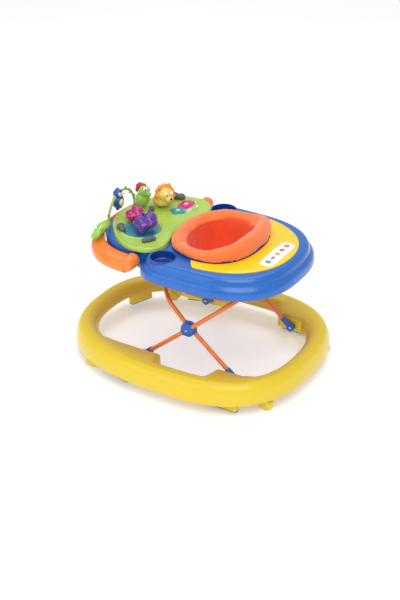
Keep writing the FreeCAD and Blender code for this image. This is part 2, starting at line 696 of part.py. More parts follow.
panelPlate = prism(eggWire(184, 114, 150, 186, deck, (2.2, 1.8, 0.8), (1.2, 1.05, 0.85)), 3.2)
panelPlate = panelPlate.cut(prism(seatWire(27.5, deck - 1, 18.5), 8))
panelPlate = panelPlate.cut(Part.makeBox(500, 400, 20, Vector(-250, 88 - 400, deck - 5)))
node("rear_panel", feature("RearPanel", panelPlate.removeSplitter()))

plateWidth = 156.0
plateDepth = 46.0
plateY = 252.0
plateBody = doc.addObject("PartDesign::Body", "NamePlate")
plateSketch = plateBody.newObject("Sketcher::SketchObject", "NamePlateOutline")
planeXY = [f for f in plateBody.Origin.OriginFeatures if f.Role == "XY_Plane"][0]
plateSketch.AttachmentSupport = [(planeXY, "")]
plateSketch.MapMode = "FlatFace"
corners = [(-plateWidth / 2, -plateDepth / 2), (plateWidth / 2, -plateDepth / 2),
           (plateWidth / 2, plateDepth / 2), (-plateWidth / 2, plateDepth / 2)]
for start, end in zip(corners, corners[1:] + corners[:1]):
    plateSketch.addGeometry(Part.LineSegment(Vector(*start, 0), Vector(*end, 0)))
plateBody.Placement = at(0, plateY, deck + 3.2)
platePad = plateBody.newObject("PartDesign::Pad", "NamePlatePad")
platePad.Profile = plateSketch
platePad.Length = 2.2
doc.recompute()
plateFillet = plateBody.newObject("PartDesign::Fillet", "NamePlateCorners")
uprightEdges = ["Edge%d" % (i + 1) for i, e in enumerate(platePad.Shape.Edges)
                if abs(e.tangentAt(e.FirstParameter).z) > 0.99]
plateFillet.Base = (platePad, uprightEdges)
plateFillet.Radius = 9
plateBody.Tip = plateFillet
node("name_plate", plateBody)

shapeTop = deck + 5.4
stickers = []
for step in range(5):
    x = -56 + 28 * step
    if step % 2:
        stickers.append(Part.makeCylinder(8.5, 1, Vector(x, plateY, shapeTop)))
    else:
        stickers.append(Part.makeBox(16, 16, 1, Vector(x - 8, plateY - 8, shapeTop)))
node("plate_shapes", group("PlateShapes", *[feature("PlateShape%d" % i, s) for i,
        s in enumerate(stickers)]))

# ---------- toy station ----------

panelTop = dim("panelTop")
panelFoot = deck
pondX = dim("pondX")
pondY = dim("pondY")
pondRadius = dim("pondRadius")


def panelWire(inset, height):
    """Peanut outline: two lobes, a bulged front, and a hollow rear edge that follows the seat."""
    right = [(0, -272), (70, -256), (130, -214), (172, -163), (186, -115), (171, -68), (140, -46),
            (100, -47), (50, -62)]
    outline = right + [(0, -66)] + [(-x, y) for x, y in reversed(right[1:])]
    middle = Vector(0, -150, 0)
    shrunk = []
    for x, y in outline:
        arm = Vector(x, y, 0) - middle
        arm = arm * (1 - inset / arm.Length)
        shrunk.append(Vector(middle.x + arm.x, middle.y + arm.y, height))
    curve = Part.BSplineCurve()
    curve.interpolate(Points=shrunk, PeriodicFlag=True)
    return Part.Wire(curve.toShape())


panelOutside = domeOf([panelWire(0, panelFoot + 3), panelWire(0, panelFoot + 6),
        panelWire(2.2, panelTop - 1.6), panelWire(6, panelTop)])
panelHollow = prism(panelWire(4, panelFoot + 1), panelTop - panelFoot - 4)
station = panelOutside.cut(panelHollow)
pondWell = Part.makeCylinder(pondRadius, 10, Vector(pondX, pondY, panelTop - 3))
pondBack = Part.makeCylinder(pondRadius + 2, 3, Vector(pondX, pondY, panelTop - 6))
station = station.fuse(pondBack.common(prism(panelWire(3.9, panelFoot), 30)))
station = station.cut(pondWell)

bigHippo = (80, -142)
smallHippo = (46, -196)
pawKey = (-78, -124)
flowerKey = (-126, -124)
lionPlace = (-86, -186)
parrotPlace = (-48, -228)
speakerPlace = (-112, -84)
plungerRadius = 7.0
plungerGap = 0.4
keyRadius = 13.0
keyGap = 0.5
for x, y in (bigHippo, smallHippo):
    station = station.cut(Part.makeCylinder(plungerRadius + plungerGap, 20, Vector(x, y, panelTop - 12)))
for x, y in (pawKey, flowerKey):
    station = station.cut(Part.makeCylinder(keyRadius + keyGap, 20, Vector(x, y, panelTop - 8)))
for x, y in (lionPlace, parrotPlace):
    station = station.cut(Part.makeCylinder(plungerRadius + plungerGap, 20, Vector(x, y, panelTop - 8)))
speakerHoles = [(0, 0)] + [(7 * math.cos(k * math.pi / 3), 7 * math.sin(k * math.pi / 3)) for k in range(6)]
for dx, dy in speakerHoles:
    station = station.cut(Part.makeCylinder(1.6, 12, Vector(speakerPlace[0] + dx, speakerPlace[1] + dy,
            panelTop - 6)))
node("toy_panel_cover", feature("ToyPanelCover", station.removeSplitter()))

panelPlateBase = prism(panelWire(0, panelFoot), 3)
batteryBox = Part.makeBox(74, 40, 46, Vector(-37, -265, 352.5))
batteryRoom = Part.makeBox(70, 36, 44, Vector(-35, -263, 350))
base = panelPlateBase.fuse(batteryBox).cut(batteryRoom)
node("toy_panel_base", feature("ToyPanelBase", base.removeSplitter()))
node("battery_door", solidObject("Box", "BatteryDoor", at(-37, -265, 350), Length=74, Width=40, Height=2.5))
cells = []
for step in range(2):
    cells.append(solidObject("Cylinder", "Cell%d" % step, at(-25, -253 + 16 * step, 359.7, alongX),
            Radius=7.2, Height=50))
node("batteries", group("Batteries", *cells))
node("circuit_board", solidObject("Box", "CircuitBoard", at(-28, -150, panelFoot + 3), Length=56,
        Width=44, Height=1.6))
node("speaker", solidObject("Cylinder", "Speaker", at(speakerPlace[0], speakerPlace[1], panelFoot + 3),
        Radius=16, Height=4))

pond = Part.makeCylinder(pondRadius, 1.5, Vector(pondX, pondY, panelTop - 3))
for x, y in (bigHippo, smallHippo):
    pond = pond.cut(Part.makeCylinder(plungerRadius + plungerGap, 20, Vector(x, y, panelTop - 12)))
pond = pond.common(prism(panelWire(3, panelTop - 8), 10))
node("pond_disc", feature("PondDisc", pond))

hippoFoot = panelTop + 2.2


def hippo(place, size, offset):
    """Round body, lifted head with a broad muzzle, two ears, and the plunger under it."""
    x = place[0] + offset[0]
    y = place[1] + offset[1]
    k = size
    foot = hippoFoot + 18 * k
    body = fusedEggs([(x, y, foot, 33 * k, 27 * k, 18 * k),
                      (x + 6 * k, y + 12 * k, foot + 8 * k, 20 * k, 19 * k, 19 * k),
                      (x + 12 * k, y + 24 * k, foot + 4 * k, 17 * k, 14 * k, 12 * k),
                      (x - 6 * k, y + 8 * k, foot + 25 * k, 5.5 * k, 4 * k, 6.5 * k),
                      (x + 17 * k, y + 2 * k, foot + 25 * k, 5.5 * k, 4 * k, 6.5 * k)])
    stem = Part.makeCylinder(plungerRadius, foot - panelTop + 5.5,
            Vector(place[0], place[1], panelTop - 5.5))
    return body.fuse(stem).removeSplitter()


node("hippo_button_large", feature("HippoLarge", hippo(bigHippo, 1.12, (0, 0))))
node("hippo_button_small", feature("HippoSmall", hippo(smallHippo, 0.86, (-6, -6))))

for label, place, tag in (("paw_key", pawKey, "PawKey"), ("flower_key", flowerKey, "FlowerKey")):
    cap = solidObject("Cylinder", tag + "Cap", at(place[0], place[1], panelTop - 4.4),
            Radius=keyRadius, Height=7.4)
    node(label, cap)

rockEggs = {
    "rock_left": [(102, -210, panelTop + 7, 14, 11, 9), (114, -196, panelTop + 6, 10, 10, 8)],
    "rock_front": [(130, -96, panelTop + 6, 10, 9, 8), (118, -89, panelTop + 5, 8, 8, 7),
            (141, -104, panelTop + 5, 8, 8, 7)],
    "rock_back": [(-14, -234, panelTop + 7, 12, 10, 10)],
    "rock_middle": [(-42, -193, panelTop + 6, 9, 9, 9)],
    "rock_far": [(-148, -178, panelTop + 9, 12, 11, 12), (-153, -156, panelTop + 8, 12, 12, 11)],
}
rockShapes = []
for name, eggs in rockEggs.items():
    lump = fusedEggs(eggs)
    top = prism(panelWire(5, panelTop), 60)
    rockShapes.append(feature(name.title().replace("_", ""), lump.common(top)))
node("rocks", group("Rocks", *rockShapes))

toyFoot = panelTop + 1.6


rockPinRadius = 1.8
rockPinZ = panelTop - 5.5


def toyStem(x, y):
    """The stem under a rocking animal, with the cross pin it rocks on inside the panel."""
    stem = Part.makeCylinder(plungerRadius - 1.5, 18, Vector(x, y, rockPinZ))
    pin = Part.makeCylinder(rockPinRadius, 20, Vector(x - 10, y, rockPinZ), Vector(1, 0, 0))
    return stem.fuse(pin)


x, y = parrotPlace
parrotBody = fusedEggs([(x, y, toyFoot + 27, 21, 20, 27), (x + 2, y + 6, toyFoot + 52, 17, 17, 17)])
parrotBody = parrotBody.fuse(toyStem(x, y))
crestShape = fusedEggs([(x - 4, y - 9, toyFoot + 68, 7, 10, 9), (x - 6, y - 20, toyFoot + 58, 6, 8, 10)])
headMiddle = Vector(x + 2, y + 6, toyFoot + 52)
crestWay = Vector(-6, -15, 16).normalize()
crestShape = crestShape.cut(Part.makeCylinder(30, 17.05, headMiddle, crestWay))
node("parrot_body", feature("ParrotBody", parrotBody.removeSplitter()))
node("parrot_crest", feature("ParrotCrest", crestShape))
x, y = lionPlace
lionBody = fusedEggs([(x, y, toyFoot + 22, 28, 26, 22), (x + 4, y + 8, toyFoot + 46, 23, 22, 20)])
lionBody = lionBody.fuse(toyStem(x, y))
node("lion_body", feature("LionBody", lionBody.removeSplitter()))
mane = Part.makeTorus(23, 6.5, Vector(0, 0, 0), Vector(0, 1, 0))
mane.translate(Vector(x + 2, y + 2, toyFoot + 44))
mane = mane.cut(lionBody)
node("lion_mane", feature("LionMane", mane.removeSplitter()))

# ---------- arch with its bird, and the crocodile head ----------

archMiddle = Vector(22, -257, 414)
archRadius = 70.0
archTube = 4.0
archStart = archMiddle + Vector(archRadius, 0, 0)
archEnd = archMiddle + Vector(-archRadius, 0, 0)
archCurve = Part.Arc(archStart, archMiddle + Vector(0, 0, archRadius), archEnd).toShape()
archFoot = Part.LineSegment(archEnd, Vector(archEnd.x, archEnd.y, panelTop)).toShape()
arch = pipe(Part.Wire([archCurve, archFoot]), archTube)
for angle, side in ((15, 1), (42, -1), (108, 1), (135, -1), (160, 1)):
    a = math.radians(angle)
    reach = archRadius + side * 4
    leaf = egg(archMiddle.x + reach * math.cos(a), archMiddle.y, archMiddle.z + reach * math.sin(a), 5,
            4, 5)
    arch = arch.fuse(leaf)
node("vine_arch", feature("VineArch", arch.removeSplitter()))

birdAngle = math.radians(75)
birdAt = archMiddle + Vector(archRadius * math.cos(birdAngle), 0, archRadius * math.sin(birdAngle))
birdAxis = Vector(-math.sin(birdAngle), 0, math.cos(birdAngle))
birdBody = fusedEggs([(birdAt.x, birdAt.y, birdAt.z - 25, 16, 14, 23),
        (birdAt.x, birdAt.y, birdAt.z - 2, 13, 12, 15)])
# the body clears the curved arch all the way round; a short bush carries it
birdBody = birdBody.cut(Part.makeCylinder(archTube + 5, 80, birdAt - birdAxis * 40, birdAxis))
birdBody = birdBody.fuse(Part.makeCylinder(archTube + 6, 8, birdAt - birdAxis * 4, birdAxis))
birdBody = birdBody.cut(Part.makeCylinder(archTube + 0.3, 80, birdAt - birdAxis * 40, birdAxis))
node("bird", feature("Bird", birdBody.removeSplitter()))

handleTop = 388.0
crocBack = egg(0, 0, 0, 34, 19, 13)
crocSnout = egg(42, 0, -2, 30, 15, 9)
crocEyes = [egg(28, side * 9, 10, 8, 6, 7) for side in (-1, 1)]
croc = crocBack.fuse(crocSnout)
for eye in crocEyes:
    croc = croc.fuse(eye)
croc.rotate(Vector(0, 0, 0), Vector(0, 1, 0), 12)
croc.translate(Vector(118, -260, 404))
croc = croc.cut(Part.makeBox(400, 400, 60, Vector(-200, -450, handleTop + 1.5 - 60)))
# the arch's end stands in a socket in its back, and a short foot rests on the tray's deck
croc = croc.cut(Part.makeCylinder(archTube + 0.1, 40, archStart - Vector(0, 0, 0.1)))
croc = croc.fuse(Part.makeCylinder(4, 14, Vector(91, -251, dim("deck"))))
node("crocodile_head", feature("CrocodileHead", croc))

# ---------- carrying handle ----------

handleFull = (6.0, 1.45, 0.9)
handleGap = 4.5
handleLevels = [(7, 345), (2, 350), (0, 358), (0, 370), (4, 382), (14, handleTop)]


def handleWire(inset, height):
    reach = dim("handleFront") - inset
    return eggWire(dim("handleHalfWidth") - inset, reach, reach, dim("knuckleY"), height, handleFull,
            handleFull)


handleSolid = domeOf([handleWire(*level) for level in handleLevels])
handleInner = prism(lobeWire(-handleGap, 330), 80)
handleSolid = handleSolid.cut(handleInner)
handleSolid = handleSolid.cut(Part.makeBox(600, 400, 100, Vector(-300, dim("knuckleY") - 14, 320)))
handleSolid = handleSolid.cut(prism(trayWire(-2.5, 320), 100))
cavityLevels = [(10, 344), (5, 350), (3, 358), (3, 370), (7, 380), (17, 385)]
cavity = domeOf([handleWire(*level) for level in cavityLevels])
cavity = cavity.cut(prism(lobeWire(-handleGap - wall, 330), 80))
cavity = cavity.cut(Part.makeBox(600, 400, 100, Vector(-300, dim("knuckleY") - 24, 320)))
handleSolid = handleSolid.cut(cavity)
armOuter = 226.0
armInner = 188.0
hingeRadius = 5.0
pivots = []
for sign in (-1, 1):
    knuckle = Part.makeCylinder(dim("knuckleRadius"), armOuter - armInner,
                                Vector(armInner, dim("knuckleY"), dim("knuckleZ")), Vector(1, 0, 0))
    bore = Part.makeCylinder(hingeRadius + dim("runningGap"), 24,
            Vector(armInner - 1, dim("knuckleY"), dim("knuckleZ")),
                             Vector(1, 0, 0))
    pivot = Part.makeCylinder(hingeRadius, 30, Vector(armInner - 8, dim("knuckleY"), dim("knuckleZ")),
            Vector(1, 0, 0))
    flangeDisc = Part.makeCylinder(11, 15, Vector(armInner - 15.5, dim("knuckleY"), dim("knuckleZ")),
            Vector(1, 0, 0))
    pivot = pivot.fuse(flangeDisc).cut(lobeOutside)
    pivot = sorted(pivot.Solids, key=lambda s: -s.Volume)[0]
    if sign < 0:
        knuckle = mirrored(knuckle)
        bore = mirrored(bore)
        pivot = mirrored(pivot)
    handleSolid = handleSolid.fuse(knuckle).cut(bore)
    pivots.append(feature("HandlePivot%d" % len(pivots), pivot))
node("handle_pivots", group("HandlePivots", *pivots))
node("front_handle", feature("FrontHandle", handleSolid))

# ---------- check and write ----------

doc.recompute()
for item in doc.Objects:
    if "Invalid" in item.State or "Error" in item.State:
        raise RuntimeError("failed: " + item.Name)
os.makedirs("parts", exist_ok=True)
for old in os.listdir("parts"):
    os.remove(os.path.join("parts", old))
for item in nodes:
    if item.Shape.isNull() or not item.Shape.isValid():
        raise RuntimeError("bad shape: " + item.Label)
    item.Shape.exportStep(os.path.join("parts", item.Label + ".step"))
print("nodes", len(nodes))
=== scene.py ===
import bpy
import bmesh
import json
import math
import numpy as np
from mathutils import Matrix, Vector


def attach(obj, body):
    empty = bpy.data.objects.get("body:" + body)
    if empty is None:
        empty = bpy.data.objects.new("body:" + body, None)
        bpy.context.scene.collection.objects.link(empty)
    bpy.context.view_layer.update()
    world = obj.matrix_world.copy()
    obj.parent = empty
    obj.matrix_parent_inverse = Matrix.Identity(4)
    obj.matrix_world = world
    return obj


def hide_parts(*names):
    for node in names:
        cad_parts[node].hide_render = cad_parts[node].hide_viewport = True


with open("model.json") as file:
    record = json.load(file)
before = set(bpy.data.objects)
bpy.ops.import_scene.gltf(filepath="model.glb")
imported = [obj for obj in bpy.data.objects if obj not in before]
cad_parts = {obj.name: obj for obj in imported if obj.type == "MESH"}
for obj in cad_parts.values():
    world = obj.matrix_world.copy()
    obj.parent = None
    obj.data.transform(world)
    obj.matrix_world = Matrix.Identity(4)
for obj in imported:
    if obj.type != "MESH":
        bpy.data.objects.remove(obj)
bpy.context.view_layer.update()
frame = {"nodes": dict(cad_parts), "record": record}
nodes = frame["nodes"]
mm = 0.001
turn = 2 * math.pi

# the camera stands to the right of and behind the walker, a little above it
cameraSettings = {"azimuth": 120.23, "elevation": 29.35, "distance": 4.86, "target": (0.0, -0.0026, 0.1771),
                  "lens": 98.4, "sensor": 36.0}
azimuth = math.radians(cameraSettings["azimuth"])
elevation = math.radians(cameraSettings["elevation"])
back = Vector((math.sin(azimuth) * math.cos(elevation), -math.cos(azimuth) * math.cos(elevation),
               math.sin(elevation)))
cameraData = bpy.data.cameras.new("camera")
cameraData.lens = cameraSettings["lens"]
cameraData.sensor_width = cameraSettings["sensor"]
camera = bpy.data.objects.new("camera", cameraData)
camera.location = Vector(cameraSettings["target"]) + back * cameraSettings["distance"]
camera.rotation_euler = (-back).to_track_quat("-Z", "Y").to_euler()
bpy.context.scene.collection.objects.link(camera)
bpy.context.scene.camera = camera
print("camera placed")


# ---- materials ----

# 0 to 255 screen values to linear light
def screen(red, green, blue):
    steps = [v / 255 for v in (red, green, blue)]
    return tuple(v / 12.92 if v <= 0.04045 else ((v + 0.055) / 1.055) ** 2.4 for v in steps) + (1.0,)


def dim(colour, share):
    return tuple(v * share for v in colour[:3]) + (1.0,)


def newMaterial(name):
    material = bpy.data.materials.new(name)
    material.use_nodes = True
    tree = material.node_tree
    shader = tree.nodes["Principled BSDF"]
    place = tree.nodes.new("ShaderNodeTexCoord")
    return material, tree, shader, place.outputs["Object"]


def noise(tree, place, scale, detail=3.0):
    cloud = tree.nodes.new("ShaderNodeTexNoise")
    cloud.inputs["Scale"].default_value = scale
    cloud.inputs["Detail"].default_value = detail
    tree.links.new(place, cloud.inputs["Vector"])
    return cloud.outputs["Fac"]


def ramp(tree, factor, stops):
    node = tree.nodes.new("ShaderNodeValToRGB")
    elements = node.color_ramp.elements
    while len(elements) < len(stops):
        elements.new(0.5)
    for element, (position, colour) in zip(elements, stops):
        element.position = position
        element.color = colour
    tree.links.new(factor, node.inputs["Fac"])
    return node.outputs["Color"]


def spread(tree, factor, low, high):
    node = tree.nodes.new("ShaderNodeMapRange")
    node.inputs["To Min"].default_value = low
    node.inputs["To Max"].default_value = high
    tree.links.new(factor, node.inputs["Value"])
    return node.outputs["Result"]


def bump(tree, shader, height, strength, distance):
    node = tree.nodes.new("ShaderNodeBump")
    node.inputs["Strength"].default_value = strength
    node.inputs["Distance"].default_value = distance
    tree.links.new(height, node.inputs["Height"])
    tree.links.new(node.outputs["Normal"], shader.inputs["Normal"])


# moulded plastic: slow drift in the colour, uneven gloss and a faint orange-peel skin
def plastic(name, colour, rough=0.3, coat=0.25, peel=0.06, drift=0.9):
    material, tree, shader, place = newMaterial(name)
    shade = ramp(tree, noise(tree, place, 14), [(0.3, dim(colour, drift)), (0.7, colour)])
    tree.links.new(shade, shader.inputs["Base Color"])
    tree.links.new(spread(tree, noise(tree, place, 45), rough - 0.05, rough + 0.07),
                   shader.inputs["Roughness"])
    shader.inputs["Coat Weight"].default_value = coat
    shader.inputs["Coat Roughness"].default_value = 0.12
    bump(tree, shader, noise(tree, place, 420, 2.0), peel, 0.0004)
    return material


# clear tinted plastic: light goes a little way in
def jelly(name, colour, deep):
    material, tree, shader, place = newMaterial(name)
    shade = ramp(tree, noise(tree, place, 40), [(0.35, deep), (0.65, colour)])
    tree.links.new(shade, shader.inputs["Base Color"])
    tree.links.new(spread(tree, noise(tree, place, 60), 0.06, 0.14), shader.inputs["Roughness"])
    shader.inputs["Transmission Weight"].default_value = 0.25
    shader.inputs["Subsurface Weight"].default_value = 0.3
    shader.inputs["Subsurface Radius"].default_value = (0.006, 0.003, 0.006)
    shader.inputs["Coat Weight"].default_value = 0.6
    bump(tree, shader, noise(tree, place, 300, 2.0), 0.03, 0.0003)
    return material


# woven cloth: crossed threads, mottled dye and a soft sheen
def cloth(name, colour, thread=1.3, sheen=0.25):
    material, tree, shader, place = newMaterial(name)
    waveScale = turn / (20 * thread * mm)
    threads = []
    for direction in ("X", "Y", "Z"):
        wave = tree.nodes.new("ShaderNodeTexWave")
        wave.bands_direction = direction
        wave.inputs["Scale"].default_value = waveScale
        wave.inputs["Distortion"].default_value = 0.6
        tree.links.new(place, wave.inputs["Vector"])
        threads.append(wave.outputs["Fac"])
    height = threads[0]
    for other in threads[1:]:
        join = tree.nodes.new("ShaderNodeMath")
        join.operation = "MULTIPLY"
        tree.links.new(height, join.inputs[0])
        tree.links.new(other, join.inputs[1])
        height = join.outputs["Value"]
    shade = ramp(tree, noise(tree, place, 26, 6.0), [(0.25, dim(colour, 0.86)), (0.75, colour)])
    tree.links.new(shade, shader.inputs["Base Color"])
    tree.links.new(spread(tree, noise(tree, place, 90), 0.7, 0.9), shader.inputs["Roughness"])
    shader.inputs["Sheen Weight"].default_value = sheen
    bump(tree, shader, height, 0.35, 0.0006)
    return material


# drawn metal: fine lines in the gloss
def metal(name, colour, rough=0.35):
    material, tree, shader, place = newMaterial(name)
    shade = ramp(tree, noise(tree, place, 80), [(0.3, dim(colour, 0.85)), (0.7, colour)])
    tree.links.new(shade, shader.inputs["Base Color"])
    tree.links.new(spread(tree, noise(tree, place, 500), rough - 0.08, rough + 0.1),
                   shader.inputs["Roughness"])
    shader.inputs["Metallic"].default_value = 1.0
    bump(tree, shader, noise(tree, place, 700, 2.0), 0.05, 0.0002)
    return material


# the ring: brighter outside, darker and more orange towards the inner side, which is painted shade; the mesh
# carries the share
def ringPlastic(name, outside, inside):
    material, tree, shader, place = newMaterial(name)
    share = tree.nodes.new("ShaderNodeAttribute")
    share.attribute_name = "innerShadeShare"
    blend = tree.nodes.new("ShaderNodeMath")
    blend.operation = "MULTIPLY_ADD"
    blend.inputs[1].default_value = 0.08
    tree.links.new(noise(tree, place, 12), blend.inputs[0])
    tree.links.new(share.outputs["Fac"], blend.inputs[2])
    tree.links.new(ramp(tree, blend.outputs["Value"], [(0.02, outside), (1.0, inside)]),
                   shader.inputs["Base Color"])
    tree.links.new(spread(tree, noise(tree, place, 40), 0.26, 0.36), shader.inputs["Roughness"])
    shader.inputs["Coat Weight"].default_value = 0.2
    bump(tree, shader, noise(tree, place, 420, 2.0), 0.05, 0.0004)
    return material


# the ring's inner yellow is the outer yellow darkened as painted shade
colours = {"yellow": screen(228, 198, 34), "innerShadeYellow": screen(208, 170, 44), "blue": screen(14, 100, 190),
           "cupShadeBlue": screen(12, 62, 150), "hubBlue": screen(32, 92, 178), "orange": screen(246, 128, 26),
           "tubeOrange": screen(236, 116, 36), "padOrange": screen(255, 122, 56),
           "seatRed": screen(248, 88, 36),
           "plateYellow": screen(247, 212, 24), "white": screen(240, 240, 238), "green": screen(172, 206, 84),
           "teal": screen(16, 150, 172), "rock": screen(98, 94, 102), "purple": screen(112, 34, 178),
           "magenta": screen(220, 16, 132), "parrot": screen(150, 200, 80), "crest": screen(205, 36, 56),
           "lion": screen(238, 206, 100), "mane": screen(250, 150, 40), "vine": screen(158, 192, 92),
           "bird": screen(22, 78, 158), "black": screen(24, 24, 28), "grey": screen(64, 68, 76)}

material = {
    "base_yellow": ringPlastic("ringYellow", colours["yellow"], colours["innerShadeYellow"]),
    "grip_rubber": plastic("gripRubber", screen(60, 60, 62), 0.75, 0.0, 0.4),
    "pin_steel": metal("pinSteel", screen(196, 196, 200)),
    "wheel_yellow": plastic("wheelYellow", screen(232, 186, 24), 0.4, 0.1),
    "frame_orange": plastic("tubePaint", colours["tubeOrange"], 0.26, 0.4, 0.1),
    "hub_blue": plastic("hubBlue", colours["hubBlue"], 0.38, 0.1),
    "tray_blue": plastic("trayBlue", colours["blue"], 0.27, 0.35),
    # the cups' deeper blue is painted shade of the recesses
    "cup_blue": plastic("cupBlueShaded", colours["cupShadeBlue"], 0.3, 0.3),
    "seat_orange": cloth("padCloth", colours["padOrange"], 1.5, 0.4),
    "sling_red": cloth("slingCloth", colours["seatRed"], 1.2, 0.3),
    "ring_white": plastic("seatRingWhite", screen(226, 226, 222), 0.45, 0.1),
    "latch_grey": plastic("latchGrey", colours["grey"], 0.45, 0.1),
    "panel_yellow": plastic("panelYellow", colours["plateYellow"], 0.3, 0.3),
    "plate_white": plastic("plateWhite", colours["white"], 0.22, 0.5, 0.03, 0.97),
    "toy_green": plastic("toyGreen", colours["green"], 0.27, 0.35),
    "pond_teal": plastic("pondTeal", colours["teal"], 0.22, 0.4, 0.1, 0.75),
    "rock_grey": plastic("rockGrey", colours["rock"], 0.5, 0.1, 0.4, 0.75),
    "hippo_purple": jelly("purpleJelly", colours["purple"], screen(84, 22, 146)),
    "hippo_magenta": jelly("magentaJelly", colours["magenta"], screen(186, 8, 108)),
    "key_teal": plastic("keyTeal", screen(24, 158, 180), 0.25, 0.4),
    "key_magenta": plastic("keyMagenta", screen(206, 40, 120), 0.25, 0.4),
    "parrot_green": plastic("parrotGreen", colours["parrot"], 0.28, 0.35),
    "crest_red": plastic("crestRed", colours["crest"], 0.28, 0.35),
    "lion_yellow": plastic("lionYellow", colours["lion"], 0.28, 0.35),
    "mane_orange": plastic("maneOrange", colours["mane"], 0.28, 0.35),
    "vine_green": plastic("vineGreen", colours["vine"], 0.4, 0.1),
    "bird_blue": plastic("birdBlue", colours["bird"], 0.3, 0.3),
    "handle_orange": plastic("handleOrange", colours["orange"], 0.24, 0.45),
    "board_green": plastic("boardGreen", screen(20, 96, 52), 0.5, 0.1),
    "cell_metal": metal("cellMetal", screen(150, 150, 156), 0.4),
    "label_colours": plastic("labelCoral", screen(222, 120, 92), 0.3, 0.3),
}
eyeWhite = plastic("eyeWhite", screen(244, 244, 240), 0.15, 0.6, 0.01, 0.98)
# black for the eyes and nose, also used as painted shade in the sound holes
blackAndHoleShade = plastic("blackAndHoleShade", colours["black"], 0.12, 0.6, 0.01)
slotOf = {part["node"]: part["material_slot"] for part in frame["record"]["subparts"]}
for nodeName, item in nodes.items():
    finish = material[slotOf[nodeName]]
    if len(item.material_slots):
        item.material_slots[0].material = finish
    else:
        item.data.materials.append(finish)
print("materials made")


# ---- mesh helpers ----

# quads between the rows and columns of a grid; closed directions join back to their start
def gridFaces(rows, columns, closeRows, closeColumns, offset=0):
    i, j = np.meshgrid(np.arange(rows if closeRows else rows - 1),
                       np.arange(columns if closeColumns else columns - 1), indexing="ij")
    nextI = (i + 1) % rows
    nextJ = (j + 1) % columns
    quads = np.stack([i * columns + j, i * columns + nextJ, nextI * columns + nextJ, nextI * columns + j], -1)
    return (quads.reshape(-1, 4) + offset).tolist()


# a piece from points in millimetres; normals are made to point out and doubles merged
def addPiece(name, points, faces, slot, body, finish=None, sharp=35, merge=0.02):
    mesh = bpy.data.meshes.new(name)
    mesh.from_pydata((np.asarray(points, float).reshape(-1, 3) * mm).tolist(), [], faces)
    work = bmesh.new()
    work.from_mesh(mesh)
    bmesh.ops.remove_doubles(work, verts=work.verts, dist=merge * mm)
    bmesh.ops.recalc_face_normals(work, faces=work.faces)
    work.to_mesh(mesh)
    work.free()
    mesh.polygons.foreach_set("use_smooth", np.ones(len(mesh.polygons), bool))
    mesh.set_sharp_from_angle(angle=math.radians(sharp))
    piece = bpy.data.objects.new(name, mesh)
    mesh.materials.append(finish or material[slot])
    bpy.context.scene.collection.objects.link(piece)
    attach(piece, body)
    return piece


# rows of a grid run along a path, columns run round a section; open ends are closed with a fan
def capped(grid, closeColumns=True):
    rows, columns = grid.shape[:2]
    points = grid.reshape(-1, 3)
    faces = gridFaces(rows, columns, False, closeColumns)
    for row in (0, rows - 1):
        centre = grid[row].mean(0)
        points = np.vstack([points, centre])
        ring = row * columns + np.arange(columns)
        faces += [[int(a), int(b), len(points) - 1] for a, b in zip(ring, np.roll(ring, -1))]
    return points, faces


# a smooth line through control points: Catmull-Rom, each span a cubic of its four neighbours
def smoothLine(points, perSpan, closed=False):
    control = np.asarray(points, float)
    if closed:
        before, start, end, after = (np.roll(control, k, 0) for k in (1, 0, -1, -2))
    else:
        padded = np.vstack([2 * control[0] - control[1], control, 2 * control[-1] - control[-2]])
        before, start, end, after = padded[:-3], padded[1:-2], padded[2:-1], padded[3:]
    t = (np.arange(perSpan) / perSpan)[None, :, None]
    before, start, end, after = (v[:, None, :] for v in (before, start, end, after))
    line = 0.5 * (2 * start + (end - before) * t + (2 * before - 5 * start + 4 * end - after) * t ** 2
                  + (3 * start - before - 3 * end + after) * t ** 3)
    line = line.reshape(-1, control.shape[1])
    return line if closed else np.vstack([line, control[-1]])


# distance from the middle to a superellipse |x/a|^n + |y/b|^n = 1 along each angle
def eggRadius(angle, halfWidth, rear, front, fullRear, fullFront):
    c, s = np.abs(np.cos(angle)), np.abs(np.sin(angle))
    isRear = np.sin(angle) >= 0
    reach = np.where(isRear, rear, front)
    full = np.where(isRear, fullRear, fullFront)
    return 1 / ((c / halfWidth) ** full + (s / reach) ** full) ** (1 / full)


def smoothStep(low, high, value):
    t = np.clip((value - low) / (high - low), 0, 1)
    return t * t * (3 - 2 * t)


# an ellipsoid: latitude and longitude grid, closed at its poles by merging
def eggPoints(x, y, z, rx, ry, rz, columns=28, rows=18):
    up = np.linspace(-math.pi / 2, math.pi / 2, rows)[:, None]
    round_ = np.linspace(0, turn, columns, endpoint=False)[None, :]
    grid = np.stack([x + rx * np.cos(up) * np.cos(round_), y + ry * np.cos(up) * np.sin(round_),
                     z + rz * np.sin(up) * np.ones_like(round_)], -1)
    return grid.reshape(-1, 3), gridFaces(rows, columns, False, True)


def joinShapes(shapes):
    points, faces = [], []
    count = 0
    for shapePoints, shapeFaces in shapes:
        faces += [[v + count for v in face] for face in shapeFaces]
        points.append(shapePoints)
        count += len(shapePoints)
    return np.vstack(points), faces


# the mesh that the modifiers give becomes the piece's own mesh
def applyModifiers(piece):
    graph = bpy.context.evaluated_depsgraph_get()
    made = bpy.data.meshes.new_from_object(piece.evaluated_get(graph))
    piece.modifiers.clear()
    piece.data = made
    made.polygons.foreach_set("use_smooth", np.ones(len(made.polygons), bool))


# ellipsoids melted into one skin: voxel remesh, then smoothing
def blob(name, eggs, slot, body, voxel=1.4, rounds=6, finish=None):
    points, faces = joinShapes([eggPoints(*e) for e in eggs])
    piece = addPiece(name, points, faces, slot, body, finish)
    remesh = piece.modifiers.new("skin", "REMESH")
    remesh.mode = "VOXEL"
    remesh.voxel_size = voxel * mm
    soften = piece.modifiers.new("soften", "SMOOTH")
    soften.factor = 0.5
    soften.iterations = rounds
    applyModifiers(piece)
    return piece


